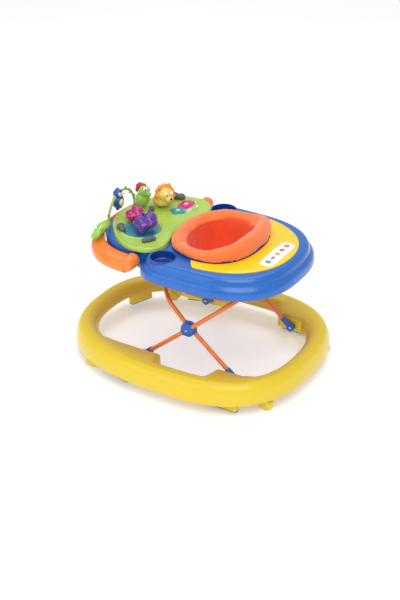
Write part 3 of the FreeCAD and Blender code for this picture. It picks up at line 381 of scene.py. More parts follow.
# a flat shape with rounded edges: an outline r(angle) about a centre, with a crowned top
def slab(name, centre, radius, low, high, slot, body, edge=1.2, crown=0.3, finish=None, count=96,
         stretch=(1, 1)):
    angle = np.linspace(0, turn, count, endpoint=False)
    outline = radius(angle)
    steps = np.linspace(0, math.pi / 2, 5)
    levels = [(0.0, low)] + [(edge * (1 - math.cos(s)), high - edge * (1 - math.sin(s))) for s in steps]
    rows = []
    for inset, height in levels:
        rows.append(np.stack([(outline - inset) * np.cos(angle), (outline - inset) * np.sin(angle),
                              np.full(count, height)], -1))
    for share in (0.7, 0.4, 0.15):
        rows.append(np.stack([(outline - edge) * share * np.cos(angle),
                              (outline - edge) * share * np.sin(angle),
                              np.full(count, high + crown * (1 - share ** 2))], -1))
    grid = np.array(rows)
    grid[..., 0] = grid[..., 0] * stretch[0] + centre[0]
    grid[..., 1] = grid[..., 1] * stretch[1] + centre[1]
    points, faces = capped(grid)
    return addPiece(name, points, faces, slot, body, finish)


# a turned shape: a profile of (radius, height) spun about an upright or sideways axis
def turned(name, profile, centre, slot, body, axis="Z", count=72, finish=None, sharp=35):
    line = np.asarray(profile, float)
    angle = np.linspace(0, turn, count, endpoint=False)
    r, h = line[:, 0][:, None], line[:, 1][:, None]
    a, b, c = r * np.cos(angle), r * np.sin(angle), h * np.ones(count)
    grid = np.stack({"Z": [a, b, c], "X": [c, a, b], "Y": [a, c, b]}[axis], -1) + np.asarray(centre, float)
    points, faces = capped(grid)
    return addPiece(name, points, faces, slot, body, finish, sharp)


# a round bar along a path of points, its section kept level with a fixed side vector
def bar(name, path, radius, side, slot, body, count=20, finish=None):
    path = np.asarray(path, float)
    along = np.gradient(path, axis=0)
    along /= np.linalg.norm(along, axis=1)[:, None]
    first = np.cross(along, np.asarray(side, float))
    first /= np.linalg.norm(first, axis=1)[:, None]
    second = np.cross(along, first)
    angle = np.linspace(0, turn, count, endpoint=False)
    thick = np.broadcast_to(radius, (len(path),))[:, None, None]
    grid = path[:, None, :] + thick * (np.cos(angle)[None, :, None] * first[:, None, :]
                                       + np.sin(angle)[None, :, None] * second[:, None, :])
    points, faces = capped(grid)
    return addPiece(name, points, faces, slot, body, finish)


# ---- base ring ----

ringSettings = {"halfWidth": 310, "rear": 308, "front": 440, "middle": 66, "full": 2.55,
                "frontShare": 58 / 78, "rearShare": 65 / 78, "columns": 360,
                "skin": [(0.8, 36), (0, 42), (0.4, 54), (3.4, 72), (10, 87), (20, 96), (32, 100), (46, 98),
                         (60, 91),
                         (70.5, 81), (76, 71), (78, 60)],
                "inside": [(75, 60), (73, 70), (66, 80), (56, 88), (45, 94.6), (32, 96.8), (21, 92.6),
                           (12, 83.5),
                           (6, 70), (3.3, 54), (3, 42), (3.2, 36)],
                "bosses": [(198, (-212, -188, -22, 4)), (183, (140, 168, 248, 276))]}


# each profile point (inset, height) gives its own smaller superellipse
def ringGrid(setting):
    outside = smoothLine(setting["skin"], 6)
    inside = smoothLine(setting["inside"], 2)
    profile = np.vstack([outside, inside])
    angle = np.linspace(0, turn, setting["columns"], endpoint=False)
    inset, height = profile[:, 0][:, None], profile[:, 1][:, None]
    radius = eggRadius(angle[None, :], setting["halfWidth"] - inset,
                       setting["rear"] - inset * setting["rearShare"],
                       setting["front"] - inset * setting["frontShare"], setting["full"], setting["full"])
    grid = np.stack([radius * np.cos(angle), setting["middle"] + radius * np.sin(angle),
                     height * np.ones_like(angle)], -1)
    # share of painted shade: none on the outer face, full on the inner side
    share = smoothStep(34, 74, inset) * np.ones_like(angle)
    # the inner side swells into a boss over each guide and pivot block
    innermost = int(np.argmax(profile[:, 0]))
    edgeX, edgeY = grid[innermost, :, 0], grid[innermost, :, 1]
    depth = inset + np.where(np.arange(len(profile)) >= len(outside), 3, 0)[:, None]
    for innerX, (up0, up1, down0, down1) in setting["bosses"]:
        along = smoothStep(up0, up1, edgeY) * (1 - smoothStep(down0, down1, edgeY))
        extra = np.clip(np.abs(edgeX) - innerX, 0, 60) * (np.abs(edgeX) > 150) * along
        grid[..., 0] -= np.sign(grid[..., 0]) * extra * smoothStep(36, 78, depth)
        lift = np.interp(depth, [48, 60, 70.5, 76, 78], [0, 2.5, 11.5, 15, 0]) - 14 * (depth > 77)
        grid[..., 2] += lift * along * (np.abs(edgeX) > 150)
    return grid, share


ringPoints, ringShadeShare = ringGrid(ringSettings)
ringFaces = gridFaces(ringPoints.shape[0], ringPoints.shape[1], True, True)
ring = addPiece("walker_base_ring", ringPoints, ringFaces, "base_yellow", "base", merge=0)
# each point's share of painted shade, read by the ring's material
shadeShareAttribute = ring.data.attributes.new("innerShadeShare", "FLOAT", "POINT")
shadeShareAttribute.data.foreach_set("value", ringShadeShare.reshape(-1))
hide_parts("base_ring")
print("ring made")

# ---- tray ----

traySettings = {"halfWidth": 232, "rear": 263, "front": 176, "middle": 66, "fullRear": 2.6, "fullFront": 4.5,
                "lobeHalfWidth": 178, "lobeReach": 160, "lobeMiddle": -125, "lobeFull": 2.15, "centreY": 20,
                "fillet": 0.10, "columns": 432, "wall": 3,
                "mainLevels": [(1.2, 336), (0.2, 338), (0, 345), (0.8, 354), (3.2, 362), (7.5, 368),
                               (11.6, 371.8),
                               (13, 374.6), (13.8, 379), (16.6, 386.6), (20.6, 392), (25, 395), (30, 396)],
                "lobeLevels": [(2.6, 348), (2, 349), (0.6, 353), (0, 358), (0, 363), (0, 368), (0, 373),
                               (0, 378), (0.4, 383), (1.6, 388), (4, 392.4), (7.6, 395.2), (12, 396)]}
seatSettings = {"halfWidth": 128, "reach": 110, "middle": 68, "full": 2.3}


# blended union of two superellipses, as a distance from the centre: the smooth least of
# (|x/a|^n + |y/b|^n)^(1/n) for the wide part and the lobe is solved by halving
def trayRadius(angle, inset, setting):
    c, s = np.cos(angle), np.sin(angle)
    low = np.full(np.broadcast(angle, inset).shape, 60.0)
    high = np.full(low.shape, 420.0)

    def level(radius):
        x = radius * c
        y = setting["centreY"] + radius * s
        wideY = y - setting["middle"]
        reach = np.where(wideY >= 0, setting["rear"], setting["front"]) - inset
        full = np.where(wideY >= 0, setting["fullRear"], setting["fullFront"])
        wide = ((np.abs(x) / (setting["halfWidth"] - inset)) ** full
                + (np.abs(wideY) / reach) ** full) ** (1 / full)
        lobeY = np.abs(y - setting["lobeMiddle"])
        lobeFull = setting["lobeFull"]
        lobe = ((np.abs(x) / (setting["lobeHalfWidth"] - inset)) ** lobeFull
                + (lobeY / (setting["lobeReach"] - inset)) ** lobeFull) ** (1 / lobeFull)
        k = setting["fillet"]
        h = np.clip(0.5 + 0.5 * (lobe - wide) / k, 0, 1)
        return lobe * (1 - h) + wide * h - k * h * (1 - h) * 0.5

    for _ in range(36):
        middle = (low + high) / 2
        isInside = level(middle) < 1
        low = np.where(isInside, middle, low)
        high = np.where(isInside, high, middle)
    return (low + high) / 2


def rayToEgg(angle, centreY, halfWidth, reach, middle, full):
    low = np.full(angle.shape, 1.0)
    high = np.full(angle.shape, 400.0)
    for _ in range(36):
        radius = (low + high) / 2
        x = radius * np.cos(angle)
        y = centreY + radius * np.sin(angle) - middle
        isInside = (np.abs(x) / halfWidth) ** full + (np.abs(y) / reach) ** full < 1
        low = np.where(isInside, radius, low)
        high = np.where(isInside, high, radius)
    return (low + high) / 2


def trayGrid(setting, seat):
    angle = np.linspace(0, turn, setting["columns"], endpoint=False)
    # 1 on the lobe's share of the outline, 0 on the wide part
    front = smoothStep(-0.52, -0.66, np.sin(angle))
    main = smoothLine(setting["mainLevels"], 3)
    lobe = smoothLine(setting["lobeLevels"], 3)
    inset = main[:, 0][:, None] * (1 - front) + lobe[:, 0][:, None] * front
    height = main[:, 1][:, None] * (1 - front) + lobe[:, 1][:, None] * front
    outer = trayRadius(angle[None, :], inset, setting)
    hole = rayToEgg(angle, setting["centreY"], seat["halfWidth"], seat["reach"], seat["middle"], seat["full"])
    steps = np.array([0.25, 0.5, 0.75, 1.0])[:, None]
    deckRadius = outer[-1] * (1 - steps) + hole * steps
    deckHeight = np.full(deckRadius.shape, height[-1, 0])
    wall = setting["wall"]
    innerRadius = trayRadius(angle[None, :], inset[::-1] + wall, setting)
    innerHeight = np.minimum(height[::-1], height[-1, 0] - wall)
    underRadius = deckRadius[::-1]
    underHeight = deckHeight - wall
    radius = np.vstack([outer, deckRadius, underRadius, innerRadius])
    level = np.vstack([height, deckHeight, underHeight, innerHeight])
    return np.stack([radius * np.cos(angle), setting["centreY"] + radius * np.sin(angle), level], -1)


trayPoints = trayGrid(traySettings, seatSettings)
tray = addPiece("tray_body", trayPoints, gridFaces(trayPoints.shape[0], trayPoints.shape[1], True, True),
                "tray_blue", "tray")


# a boolean cut by turned plugs, applied at once
def cutAway(piece, cutters):
    for cutter in cutters:
        carve = piece.modifiers.new("carve", "BOOLEAN")
        carve.operation = "DIFFERENCE"
        carve.solver = "EXACT"
        carve.object = cutter
    applyModifiers(piece)
    for cutter in cutters:
        bpy.data.objects.remove(cutter)
    piece.data.set_sharp_from_angle(angle=math.radians(35))


cupSettings = {"x": 175, "y": -22, "radius": 37.5, "play": 0.2,
               "profile": [(0, 369), (34, 369), (37, 372), (37.4, 376), (37.4, 394), (38.2, 396.2),
                           (39.4, 396.6),
                           (39.4, 397.2), (37.6, 397.6), (36, 396.8), (35.5, 395), (35.5, 378), (34.6, 374.4),
                           (31, 372), (24, 371.5), (0, 371.5)]}
plugs = []
for side in (-1, 1):
    hole = cupSettings["radius"] + cupSettings["play"]
    plugs.append(turned("plug", [(0, 360), (hole, 360), (hole, 410), (0, 410)],
                        (side * cupSettings["x"], cupSettings["y"], 0), "tray_blue", "tray"))
cutAway(tray, plugs)
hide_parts("tray_shell")
# the cup recesses in a deeper blue, which is painted shade
for side, label in ((-1, "left"), (1, "right")):
    cup = turned("cup_recess_" + label, smoothLine(cupSettings["profile"], 3),
                 (side * cupSettings["x"], cupSettings["y"], 0), "cup_blue", "tray")
    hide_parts("cup_inserts")
print("tray made")

# ---- yellow rear panel and name plate ----

rearSettings = {"halfWidth": 190, "reach": 226, "full": 2.2, "seatGrow": (27.5, 18.5), "low": 396,
                "high": 399.2, "edge": 1.4}


# the strip between the seat ring and the panel's outline; u runs across, v along the arc
def rearGrid(setting, seat):
    start = -0.06
    angle = np.linspace(start, math.pi - start, 160)
    inner = rayToEgg(angle, seat["middle"], seat["halfWidth"] + setting["seatGrow"][0],
                     seat["reach"] + setting["seatGrow"][1], seat["middle"], 2.3)
    outerX = rayToEgg(angle, seat["middle"], setting["halfWidth"], setting["reach"], seat["middle"],
                      setting["full"])
    closeIn = smoothStep(0.0, 0.16, np.minimum(angle - start, math.pi - start - angle))
    outer = inner + 0.6 + (outerX - inner - 0.6) * closeIn ** 0.6
    profile = [(0, setting["low"]), (0, setting["high"] - 0.3), (0.004, setting["high"]),
               (0.3, setting["high"]),
               (0.7, setting["high"])]
    rim = [(1 - setting["edge"] / 60, setting["high"]), (1 - setting["edge"] / 140, setting["high"] - 0.5),
           (1, setting["high"] - setting["edge"]), (1, setting["low"])]
    rows = []
    for share, height in profile + rim:
        radius = inner + (outer - inner) * share
        rows.append(np.stack([radius * np.cos(angle), seat["middle"] + radius * np.sin(angle),
                              np.full(angle.shape, height)], -1))
    return np.array(rows).transpose(1, 0, 2)


rearPoints, rearFaces = capped(rearGrid(rearSettings, seatSettings))
rearPanel = addPiece("rear_yellow_panel", rearPoints, rearFaces, "panel_yellow", "tray")
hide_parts("rear_panel")

plateSettings = {"x": 5, "y": 254, "halfWidth": 78, "halfDepth": 23, "full": 6.0, "low": 399.2, "high": 401.4}
plate = slab("blank_name_plate", (plateSettings["x"], plateSettings["y"]),
             lambda a: eggRadius(a, plateSettings["halfWidth"], plateSettings["halfDepth"],
                                 plateSettings["halfDepth"], plateSettings["full"], plateSettings["full"]),
             plateSettings["low"], plateSettings["high"], "plate_white", "tray", 0.8, 0.1)
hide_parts("name_plate")
signs = [("disc", -56, screen(214, 140, 96), lambda a: 8.2 + 0 * a),
         ("drop", -28, screen(196, 108, 132), lambda a: 7.2 + 2.0 * np.cos(a) ** 2 * (np.cos(a) > 0)),
         ("flower", 0, screen(206, 176, 72), lambda a: 7.4 + 1.3 * np.cos(5 * a)),
         ("leaf", 28, screen(104, 168, 176), lambda a: 6.6 + 2.2 * np.cos(2 * a)),
         ("tile", 56, screen(120, 160, 104), lambda a: eggRadius(a, 7.6, 7.6, 7.6, 5.0, 5.0))]
for signName, x, tint, outline in signs:
    sign = slab("plate_" + signName, (plateSettings["x"] + x, plateSettings["y"]), outline, 401.3, 402.2,
                "label_colours", "tray", 0.4, 0.1,
                plastic("sign_" + signName, tint, 0.3, 0.3))
    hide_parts("plate_shapes")
print("rear panel made")

# ---- carrying handle ----

handleSettings = {"halfWidth": 240, "reach": 195, "middle": -110, "full": 2.6, "gap": 4.5, "low": 344,
                  "high": 388,
                  "rows": 150, "columns": 40, "startAngle": -0.02}


# a U between the lobe's outline and the handle's; the section is a softened box
def handleGrid(setting, lobe):
    angle = np.linspace(-math.pi - setting["startAngle"], setting["startAngle"], setting["rows"])
    outer = eggRadius(angle, setting["halfWidth"], setting["reach"], setting["reach"], setting["full"],
                      setting["full"])
    inner = rayToEgg(angle, setting["middle"], lobe["lobeHalfWidth"] + setting["gap"],
                     lobe["lobeReach"] + setting["gap"], lobe["lobeMiddle"], lobe["lobeFull"])
    around = np.linspace(0, turn, setting["columns"], endpoint=False)
    u = 0.5 + 0.5 * np.sign(np.cos(around)) * np.abs(np.cos(around)) ** 0.55
    w = np.sign(np.sin(around)) * np.abs(np.sin(around)) ** 0.62
    # the top leans down towards the outer side
    middleZ = (setting["low"] + setting["high"]) / 2
    halfHigh = (setting["high"] - setting["low"]) / 2
    lean = -5 * smoothStep(0.35, 1.0, u) * (w > 0)
    radius = inner[:, None] + (outer - inner)[:, None] * u[None, :]
    z = middleZ + halfHigh * w[None, :] + lean[None, :] + 0 * radius
    return np.stack([radius * np.cos(angle)[:, None], setting["middle"] + radius * np.sin(angle)[:, None], z],
                    -1)


handlePoints, handleFaces = capped(handleGrid(handleSettings, traySettings))
handle = addPiece("carry_handle", handlePoints, handleFaces, "handle_orange", "handle")
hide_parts("front_handle")
knuckleSettings = {"x0": 189, "x1": 238, "y": -110, "z": 372, "radius": 21}
for side, label in ((-1, "left"), (1, "right")):
    k = knuckleSettings
    barrel = [(0, k["x0"]), (k["radius"] - 3, k["x0"]), (k["radius"], k["x0"] + 3),
              (k["radius"] + 0.6, k["x0"] + 14),
              (k["radius"] - 0.8, k["x0"] + 15.2), (k["radius"] + 0.6, k["x0"] + 16.4),
              (k["radius"], k["x1"] - 7), (k["radius"] - 2.4, k["x1"] - 2), (k["radius"] - 7, k["x1"]),
              (0, k["x1"])]
    profile = np.array(barrel, float)
    profile[:, 1] *= side
    knuckle = turned("handle_knuckle_" + label, profile, (0, k["y"], k["z"]), "handle_orange", "handle", "X")
    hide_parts("front_handle")
print("handle made")

# ---- toy panel ----

panelSettings = {"outline": [(0, -272), (70, -256), (130, -214), (172, -163), (186, -115), (171, -68),
                             (140, -46),
                             (100, -47), (50, -62)],
                 "middle": (0, -150), "low": 396, "top": 407, "pond": (72, -157, 57.4), "wellDepth": 3.2,
                 "rim": 2.2}


def panelOutline(setting, count):
    right = setting["outline"]
    loop = right + [(0, -66)] + [(-x, y) for x, y in reversed(right[1:])]
    line = smoothLine(loop, 40, True) - np.asarray(setting["middle"], float)
    angle = np.unwrap(np.arctan2(line[:, 1], line[:, 0]))
    order = np.argsort(angle % turn)
    wanted = np.linspace(0, turn, count, endpoint=False)
    radius = np.interp(wanted, (angle % turn)[order], np.hypot(line[:, 0], line[:, 1])[order], period=turn)
    return wanted, radius


# rows run up the rounded side, over a raised rim and in to the middle; the pond is pressed in
def panelGrid(setting):
    angle, outline = panelOutline(setting, 420)
    top = setting["top"]
    side = smoothLine([(0.4, setting["low"]), (0, setting["low"] + 2), (0.2, top - 3.4), (1.6, top + 0.2),
                       (4.4, top + setting["rim"]), (8.0, top + setting["rim"] - 0.3), (11.5, top + 0.4),
                       (15, top)], 4)
    rows = []
    for inset, height in side:
        rows.append(np.stack([(outline - inset) * np.cos(angle), (outline - inset) * np.sin(angle),
                              np.full(angle.shape, height)], -1))
    for share in np.linspace(0.97, 0.02, 70):
        rows.append(np.stack([(outline - 15) * share * np.cos(angle), (outline - 15) * share * np.sin(angle),
                              np.full(angle.shape, top)], -1))
    grid = np.array(rows) + np.array([*setting["middle"], 0.0])
    x, y, radius = setting["pond"]
    away = np.hypot(grid[..., 0] - x, grid[..., 1] - y)
    well = smoothStep(radius + 0.5, radius - 2.5, away) * (grid[..., 2] > top - 2)
    lip = np.exp(-((away - radius - 4.5) / 3.2) ** 2) * 1.8 * (grid[..., 2] > top - 2)
    grid[..., 2] += lip * (1 - well) - well * (setting["wellDepth"] + (grid[..., 2] - top))
    return grid


panelPoints, panelFaces = capped(panelGrid(panelSettings))
panel = addPiece("toy_panel", panelPoints, panelFaces, "toy_green", "tray")
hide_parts("toy_panel_cover")
pondSettings = {"centre": (72, -157, 0),
                "profile": [(0, 402), (56.9, 402), (56.9, 404.2), (54, 404.5), (30, 404.9), (0, 405)]}
pond = turned("pond_surface", pondSettings["profile"], pondSettings["centre"], "pond_teal", "tray")
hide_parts("pond_disc")

rockSettings = {"near": [(102, -210, 414, 14, 11, 9), (114, -196, 413, 10, 10, 8),
                         (107, -204, 418, 10, 8, 6)],
                "seat": [(130, -96, 413, 11, 10, 9), (118, -89, 412, 9, 8, 8), (141, -104, 412, 9, 8, 8)],
                "back": [(-14, -234, 414, 12, 10, 10), (-6, -231, 412, 8, 8, 8)],
                "middle": [(-42, -193, 413, 9, 9, 9)],
                "far": [(-148, -178, 416, 12, 11, 12), (-153, -156, 415, 12, 12, 11),
                        (-146, -166, 419, 9, 9, 8)]}
for label, eggs in rockSettings.items():
    rock = blob("rock_" + label, eggs, "rock_grey", "tray", 1.5, 5)
    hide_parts("rocks")


# two lobed wings and a yellow middle for each key
def wings(lobes, size, depth):
    return lambda a: size * (1 + depth * np.cos(lobes * a))


keySettings = {"paw": (-78, -124, "key_teal", "paw_key", "paw_button", wings(4, 15.5, 0.22)),
               "butterfly": (-126, -124, "key_magenta", "flower_key", "flower_button", wings(2, 15.5, 0.22))}
for label, (x, y, slotName, nodeName, bodyName, outline) in keySettings.items():
    key = slab("key_" + label, (x, y), outline, 402.6, 410.4, slotName, bodyName, 1.8, 0.9)
    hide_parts(nodeName)
    dot = slab("key_dot_" + label, (x, y), lambda a: 5.6 + 0.5 * np.cos(3 * a), 410.4, 412.2, slotName,
               bodyName, 0.9, 0.4,
               plastic("keyDot_" + label, screen(244, 226, 140), 0.3, 0.3))
    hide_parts(nodeName)
for label, centre, outline, tint in (("butterfly", (-126, -124), wings(2, 27, 0.24), screen(206, 44, 128)),
                                     ("paw", (-78, -124), wings(4, 23, 0.1), screen(38, 150, 172))):
    slab("decal_" + label, centre, outline, 406.4, 407.6 if label == "butterfly" else 407.9, "label_colours",
         "tray", 0.3, 0.1,
         plastic("decal_" + label, tint, 0.3, 0.3))
stickerSettings = [("leaf", (-104, -100), (11, 3.2), screen(244, 240, 236)),
                   ("petal", (-150, -110), (9, 4), screen(240, 214, 224)),
                   ("sun", (-108, -146), (7, 5), screen(244, 178, 90)),
                   ("drop", (-136, -92), (6, 3), screen(244, 240, 236))]
for label, centre, (wide, deep), tint in stickerSettings:
    slab("sticker_" + label, centre, lambda a: eggRadius(a, wide, deep, deep, 2.0, 2.0), 406.6, 407.5,
         "plate_white", "tray",
         0.3, 0.05, plastic("sticker_" + label, tint, 0.3, 0.3))
# one sound hole in the middle and six round it: each is a black disc of painted shade standing in for the
# hole
soundSettings = {"x": -112, "y": -84, "ring": 7,
                 "profile": [(0, 405), (1.7, 405), (1.7, 407.1), (1.2, 407.3), (0, 407.2)]}
dots = [(0, 0)] + [(soundSettings["ring"] * math.cos(k * math.pi / 3),
                    soundSettings["ring"] * math.sin(k * math.pi / 3))
                   for k in range(6)]
for index, (dx, dy) in enumerate(dots):
    turned("speaker_hole_shade_%d" % index, soundSettings["profile"],
           (soundSettings["x"] + dx, soundSettings["y"] + dy, 0),
           "latch_grey", "tray", count=16, finish=blackAndHoleShade)
print("toy panel made")

# ---- animals ----


def eye(name, centre, look, size, body, slotName):
    look = np.asarray(look, float) / np.linalg.norm(look)
    white = blob(name + "_white", [(*centre, size, size, size)], slotName, body, size / 9, 2, eyeWhite)
    spot = np.asarray(centre) + look * size * 0.55
    dark = blob(name + "_dark", [(*spot, size * 0.58, size * 0.58, size * 0.58)], slotName, body, size / 12,
                2, blackAndHoleShade)
    return white, dark


hippoSettings = {"large": ((80, -142), (80, -142), 1.17, "hippo_purple", "hippo_button_large", "large_hippo"),
                 "small": ((39, -204), (46, -196), 0.9, "hippo_magenta", "hippo_button_small", "small_hippo")}
hippoFoot = 411.9
for label, ((x, y), (stemX, stemY), size, slotName, nodeName, bodyName) in hippoSettings.items():
    z = hippoFoot + 18 * size
    eggs = [(0, 0, 0, 33, 27, 18), (-2, 15, 13, 22, 18, 17), (4, 26, 7, 18, 12, 12), (-14, 6, 26, 5, 4, 6),
            (9, 2, 28, 5, 4, 6),
            (-20, -14, -6, 10, 10, 12), (24, 8, -8, 9, 9, 10), (-24, 10, -8, 9, 9, 10), (-3, 27, 17, 5, 4, 4),
            (11, 24, 17, 5, 4, 4)]
    body = blob("hippo_" + label, [(x + a * size, y + b * size, z + c * size, d * size, e * size, f * size)
                                   for a, b, c, d, e, f in eggs]
                                   + [(stemX, stemY, z - 14 * size, 6.6, 6.6, 13)],
                slotName, bodyName, 1.3, 12)
    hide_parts(nodeName)

parrotBody = blob("parrot", [(-48, -228, 436, 21, 20, 27), (-45, -219, 464, 17, 17, 18),
                             (-43, -202, 458, 7.5, 8, 8),
                             (-66, -228, 434, 8, 14, 18), (-30, -230, 434, 8, 14, 18),
                             (-48, -228, 408, 6, 6, 6)],
                  "parrot_green", "parrot", 1.3, 7)
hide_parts("parrot_body")
crest = blob("parrot_crest_tuft", [(-51, -236, 478, 7, 10, 8), (-53, -246, 470, 6, 8, 9),
                                   (-53, -250, 459, 5, 6, 9),
                                   (-48, -222, 482, 6, 8, 5)], "crest_red", "parrot", 1.1, 4)
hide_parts("parrot_crest")
for side in (-1, 1):
    eye("parrot_eye_%s" % ("left" if side < 0 else "right"), (-44 + side * 9.2, -209, 475),
        (side * 0.9, 0.7, 0.2), 6.4,
        "parrot", "parrot_green")

lionBody = blob("lion", [(-86, -183, 429, 30, 29, 21), (-82, -170, 449, 25, 24, 21),
                         (-74, -152, 442, 14, 13, 10),
                         (-86, -186, 408, 6, 6, 6)], "lion_yellow", "lion", 1.3, 7)
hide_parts("lion_body")
maneSettings = {"centre": (-86, -173, 447), "radius": 25, "tube": 7.4, "scallops": 11,
                "axis": (0.5, 0.75, 0.42)}



# a ring about an axis, whose tube swells and shrinks round its length
def maneGrid(setting):
    long = np.linspace(0, turn, 132, endpoint=False)[:, None, None]
    short = np.linspace(0, turn, 28, endpoint=False)[None, :, None]
    axis = np.asarray(setting["axis"], float) / np.linalg.norm(setting["axis"])
    level = np.cross(axis, (0, 0, 1))
    level /= np.linalg.norm(level)
    outward = np.cos(long) * level + np.sin(long) * np.cross(level, axis)
    tube = setting["tube"] * (1 + 0.16 * np.cos(setting["scallops"] * long))
    return (outward * (setting["radius"] + tube * np.cos(short)) + axis * tube * np.sin(short) * 0.9
            + np.asarray(setting["centre"], float))


manePoints = maneGrid(maneSettings)
mane = addPiece("lion_mane_ring", manePoints, gridFaces(132, 28, True, True), "mane_orange", "lion")
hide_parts("lion_mane")
for side in (-1, 1):
    label = "left" if side < 0 else "right"
    blob("lion_ear_" + label, [(-87 + side * 17, -176 - side * 6, 471, 6.5, 6, 6.5)], "mane_orange", "lion",
         0.9, 2)
    eye("lion_eye_" + label, (-73 + side * 9, -150 - side * 4, 458), (0.4 + side * 0.3, 0.8, 0.3), 5.6,
        "lion", "lion_yellow")
blob("lion_nose", [(-69, -140.5, 446, 5, 3.4, 3.4)], "mane_orange", "lion", 0.6, 2, blackAndHoleShade)

# a half circle from the crocodile's back over to a foot on the panel
archSettings = {"middle": (22, -257, 414), "radius": 70, "tube": 4.0, "footZ": 407, "steps": 90,
                "leaves": [(15, 1), (42, -1), (108, 1), (135, -1), (160, 1)], "birdAngle": 75}
archMiddle = archSettings["middle"]
archAngle = np.linspace(0, math.pi, archSettings["steps"])
archPath = np.stack([archMiddle[0] + archSettings["radius"] * np.cos(archAngle),
                     archMiddle[1] + 0 * archAngle,
                     archMiddle[2] + archSettings["radius"] * np.sin(archAngle)], -1)
archEnd = archMiddle[0] - archSettings["radius"]
archPath = np.vstack([archPath, [[archEnd, archMiddle[1], z] for z in (410.5, archSettings["footZ"])]])
archThick = archSettings["tube"] * (1 + 0.10 * np.sin(np.linspace(0, 46, len(archPath))))
arch = bar("vine", archPath, archThick, (0, 1, 0), "vine_green", "tray")
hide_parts("vine_arch")
for index, (degrees, side) in enumerate(archSettings["leaves"]):
    a = math.radians(degrees)
    reach = archSettings["radius"] + side * 4.5
    x, z = archMiddle[0] + reach * math.cos(a), archMiddle[2] + reach * math.sin(a)
    blob("vine_leaf_%d" % index, [(x, -257, z, 6, 3.4, 4.4), (x + 3, -255, z + 3, 4, 3, 3.4)],
         "vine_green", "tray", 0.8, 2)

birdAngle = math.radians(archSettings["birdAngle"])
bx = archMiddle[0] + archSettings["radius"] * math.cos(birdAngle)
bz = archMiddle[2] + archSettings["radius"] * math.sin(birdAngle)
bird = blob("bird", [(bx, -257, bz - 25, 19, 18, 23), (bx + 1, -256, bz + 1, 15, 15, 14),
                     (bx - 16, -257, bz - 22, 7, 8, 15),
                     (bx + 17, -257, bz - 22, 7, 8, 15), (bx - 6, -255, bz - 46, 6, 6, 5),
                     (bx + 7, -255, bz - 46, 6, 6, 5),
                     (bx, -258, bz + 14, 5, 6, 5)], "bird_blue", "bird_spinner", 1.2, 5)
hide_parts("bird")
blob("bird_face", [(bx + 5, -246, bz + 1, 7, 7, 6), (bx + 3, -244, bz - 24, 10, 7, 12)], "bird_blue",
     "bird_spinner", 0.9, 3,
     plastic("birdFace", screen(236, 214, 118), 0.3, 0.3))
for side in (-1, 1):
    eye("bird_eye_%s" % ("left" if side < 0 else "right"), (bx + 5 + side * 5.5, -241.5 - side * 2, bz + 6),
        (0.6, 0.8, 0.1), 3.8,
        "bird_spinner", "bird_blue")

croc = blob("crocodile", [(116, -261, 408, 27, 17, 11), (144, -258, 403, 26, 15, 9),
                          (167, -254, 400, 18, 13, 8.5),
                          (142, -267, 412, 7, 6, 7), (145, -249, 412, 7, 6, 7), (178, -259, 405, 4.5, 4, 4),
                          (180, -248, 405, 4.5, 4, 4), (98, -262, 409, 14, 12, 9)], "toy_green", "tray", 1.4,
                          6,
            plastic("crocGreen", screen(158, 204, 66), 0.27, 0.35))
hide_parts("crocodile_head")
for side in (-1, 1):
    eye("crocodile_eye_%s" % ("far" if side < 0 else "near"), (147, -258 + side * 8.5, 415),
        (0.7, side * 0.6, 0.4), 4.8, "tray",
        "toy_green")
print("animals made")

# ---- hubs ----

hubSettings = {"y": 63.967, "z": 188.015, "slope": math.radians(39.84),
               "front": (186.2, "front_leg", "hub_outer_discs", 1),
               "rear": (169.3, "rear_leg", "hub_inner_discs", -1)}
for label in ("front", "rear"):
    middleX, bodyName, nodeName, direction = hubSettings[label]
    for side in (-1, 1):
        x = side * middleX
        eggs = [(x, hubSettings["y"], hubSettings["z"], 8.0, 22, 22)]
        for reach in (-15, 15):
            eggs.append((side * (185 if label == "front" else 170.5),
                         hubSettings["y"] + direction * reach * math.cos(hubSettings["slope"]),
                         hubSettings["z"] + reach * math.sin(hubSettings["slope"]), 7.3, 12, 12))
        hub = blob("hub_%s_%s" % (label, "left" if side < 0 else "right"), eggs, "hub_blue", bodyName, 1.2, 3)
        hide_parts(nodeName)
print("hubs made")

# ---- seat ----

rimSettings = {"grow": [20, 25, 26.5, 24.5, 19, 11, 2, -7, -14, -12],
               "front": 424, "rear": 457, "voxel": 4.0, "cap": 6.0, "pressure": 4.0, "columns": 220}


# a closed loop of (grow, height) at each angle; the crest rises from the sides to the back
def rimGrid(setting, seat):
    angle = np.linspace(0, turn, setting["columns"], endpoint=False)
    y = seat["reach"] * np.sin(angle)
    crest = setting["front"] + (setting["rear"] - setting["front"]) * smoothStep(-10, 118, y)
    tall = crest - 400
    heights = [np.full(angle.shape, 401.5), np.full(angle.shape, 404.0), 400 + tall * 0.36, 400 + tall * 0.72,
               400 + tall * 0.93, 400 + tall * 0.985, 400 + tall * 0.9, 400 + tall * 0.62, 400 + tall * 0.3,
               np.full(angle.shape, 401.0)]
    rows = []
    for grow, height in zip(setting["grow"], heights):
        radius = eggRadius(angle, seat["halfWidth"] + grow, seat["reach"] + grow - 9,
                           seat["reach"] + grow - 6, 2.5, 2.3)
        rows.append(np.stack([radius * np.cos(angle), seat["middle"] + radius * np.sin(angle), height], -1))
    loops = smoothLine(np.array(rows).reshape(len(rows), -1), 3, True)
    return loops.reshape(-1, setting["columns"], 3)


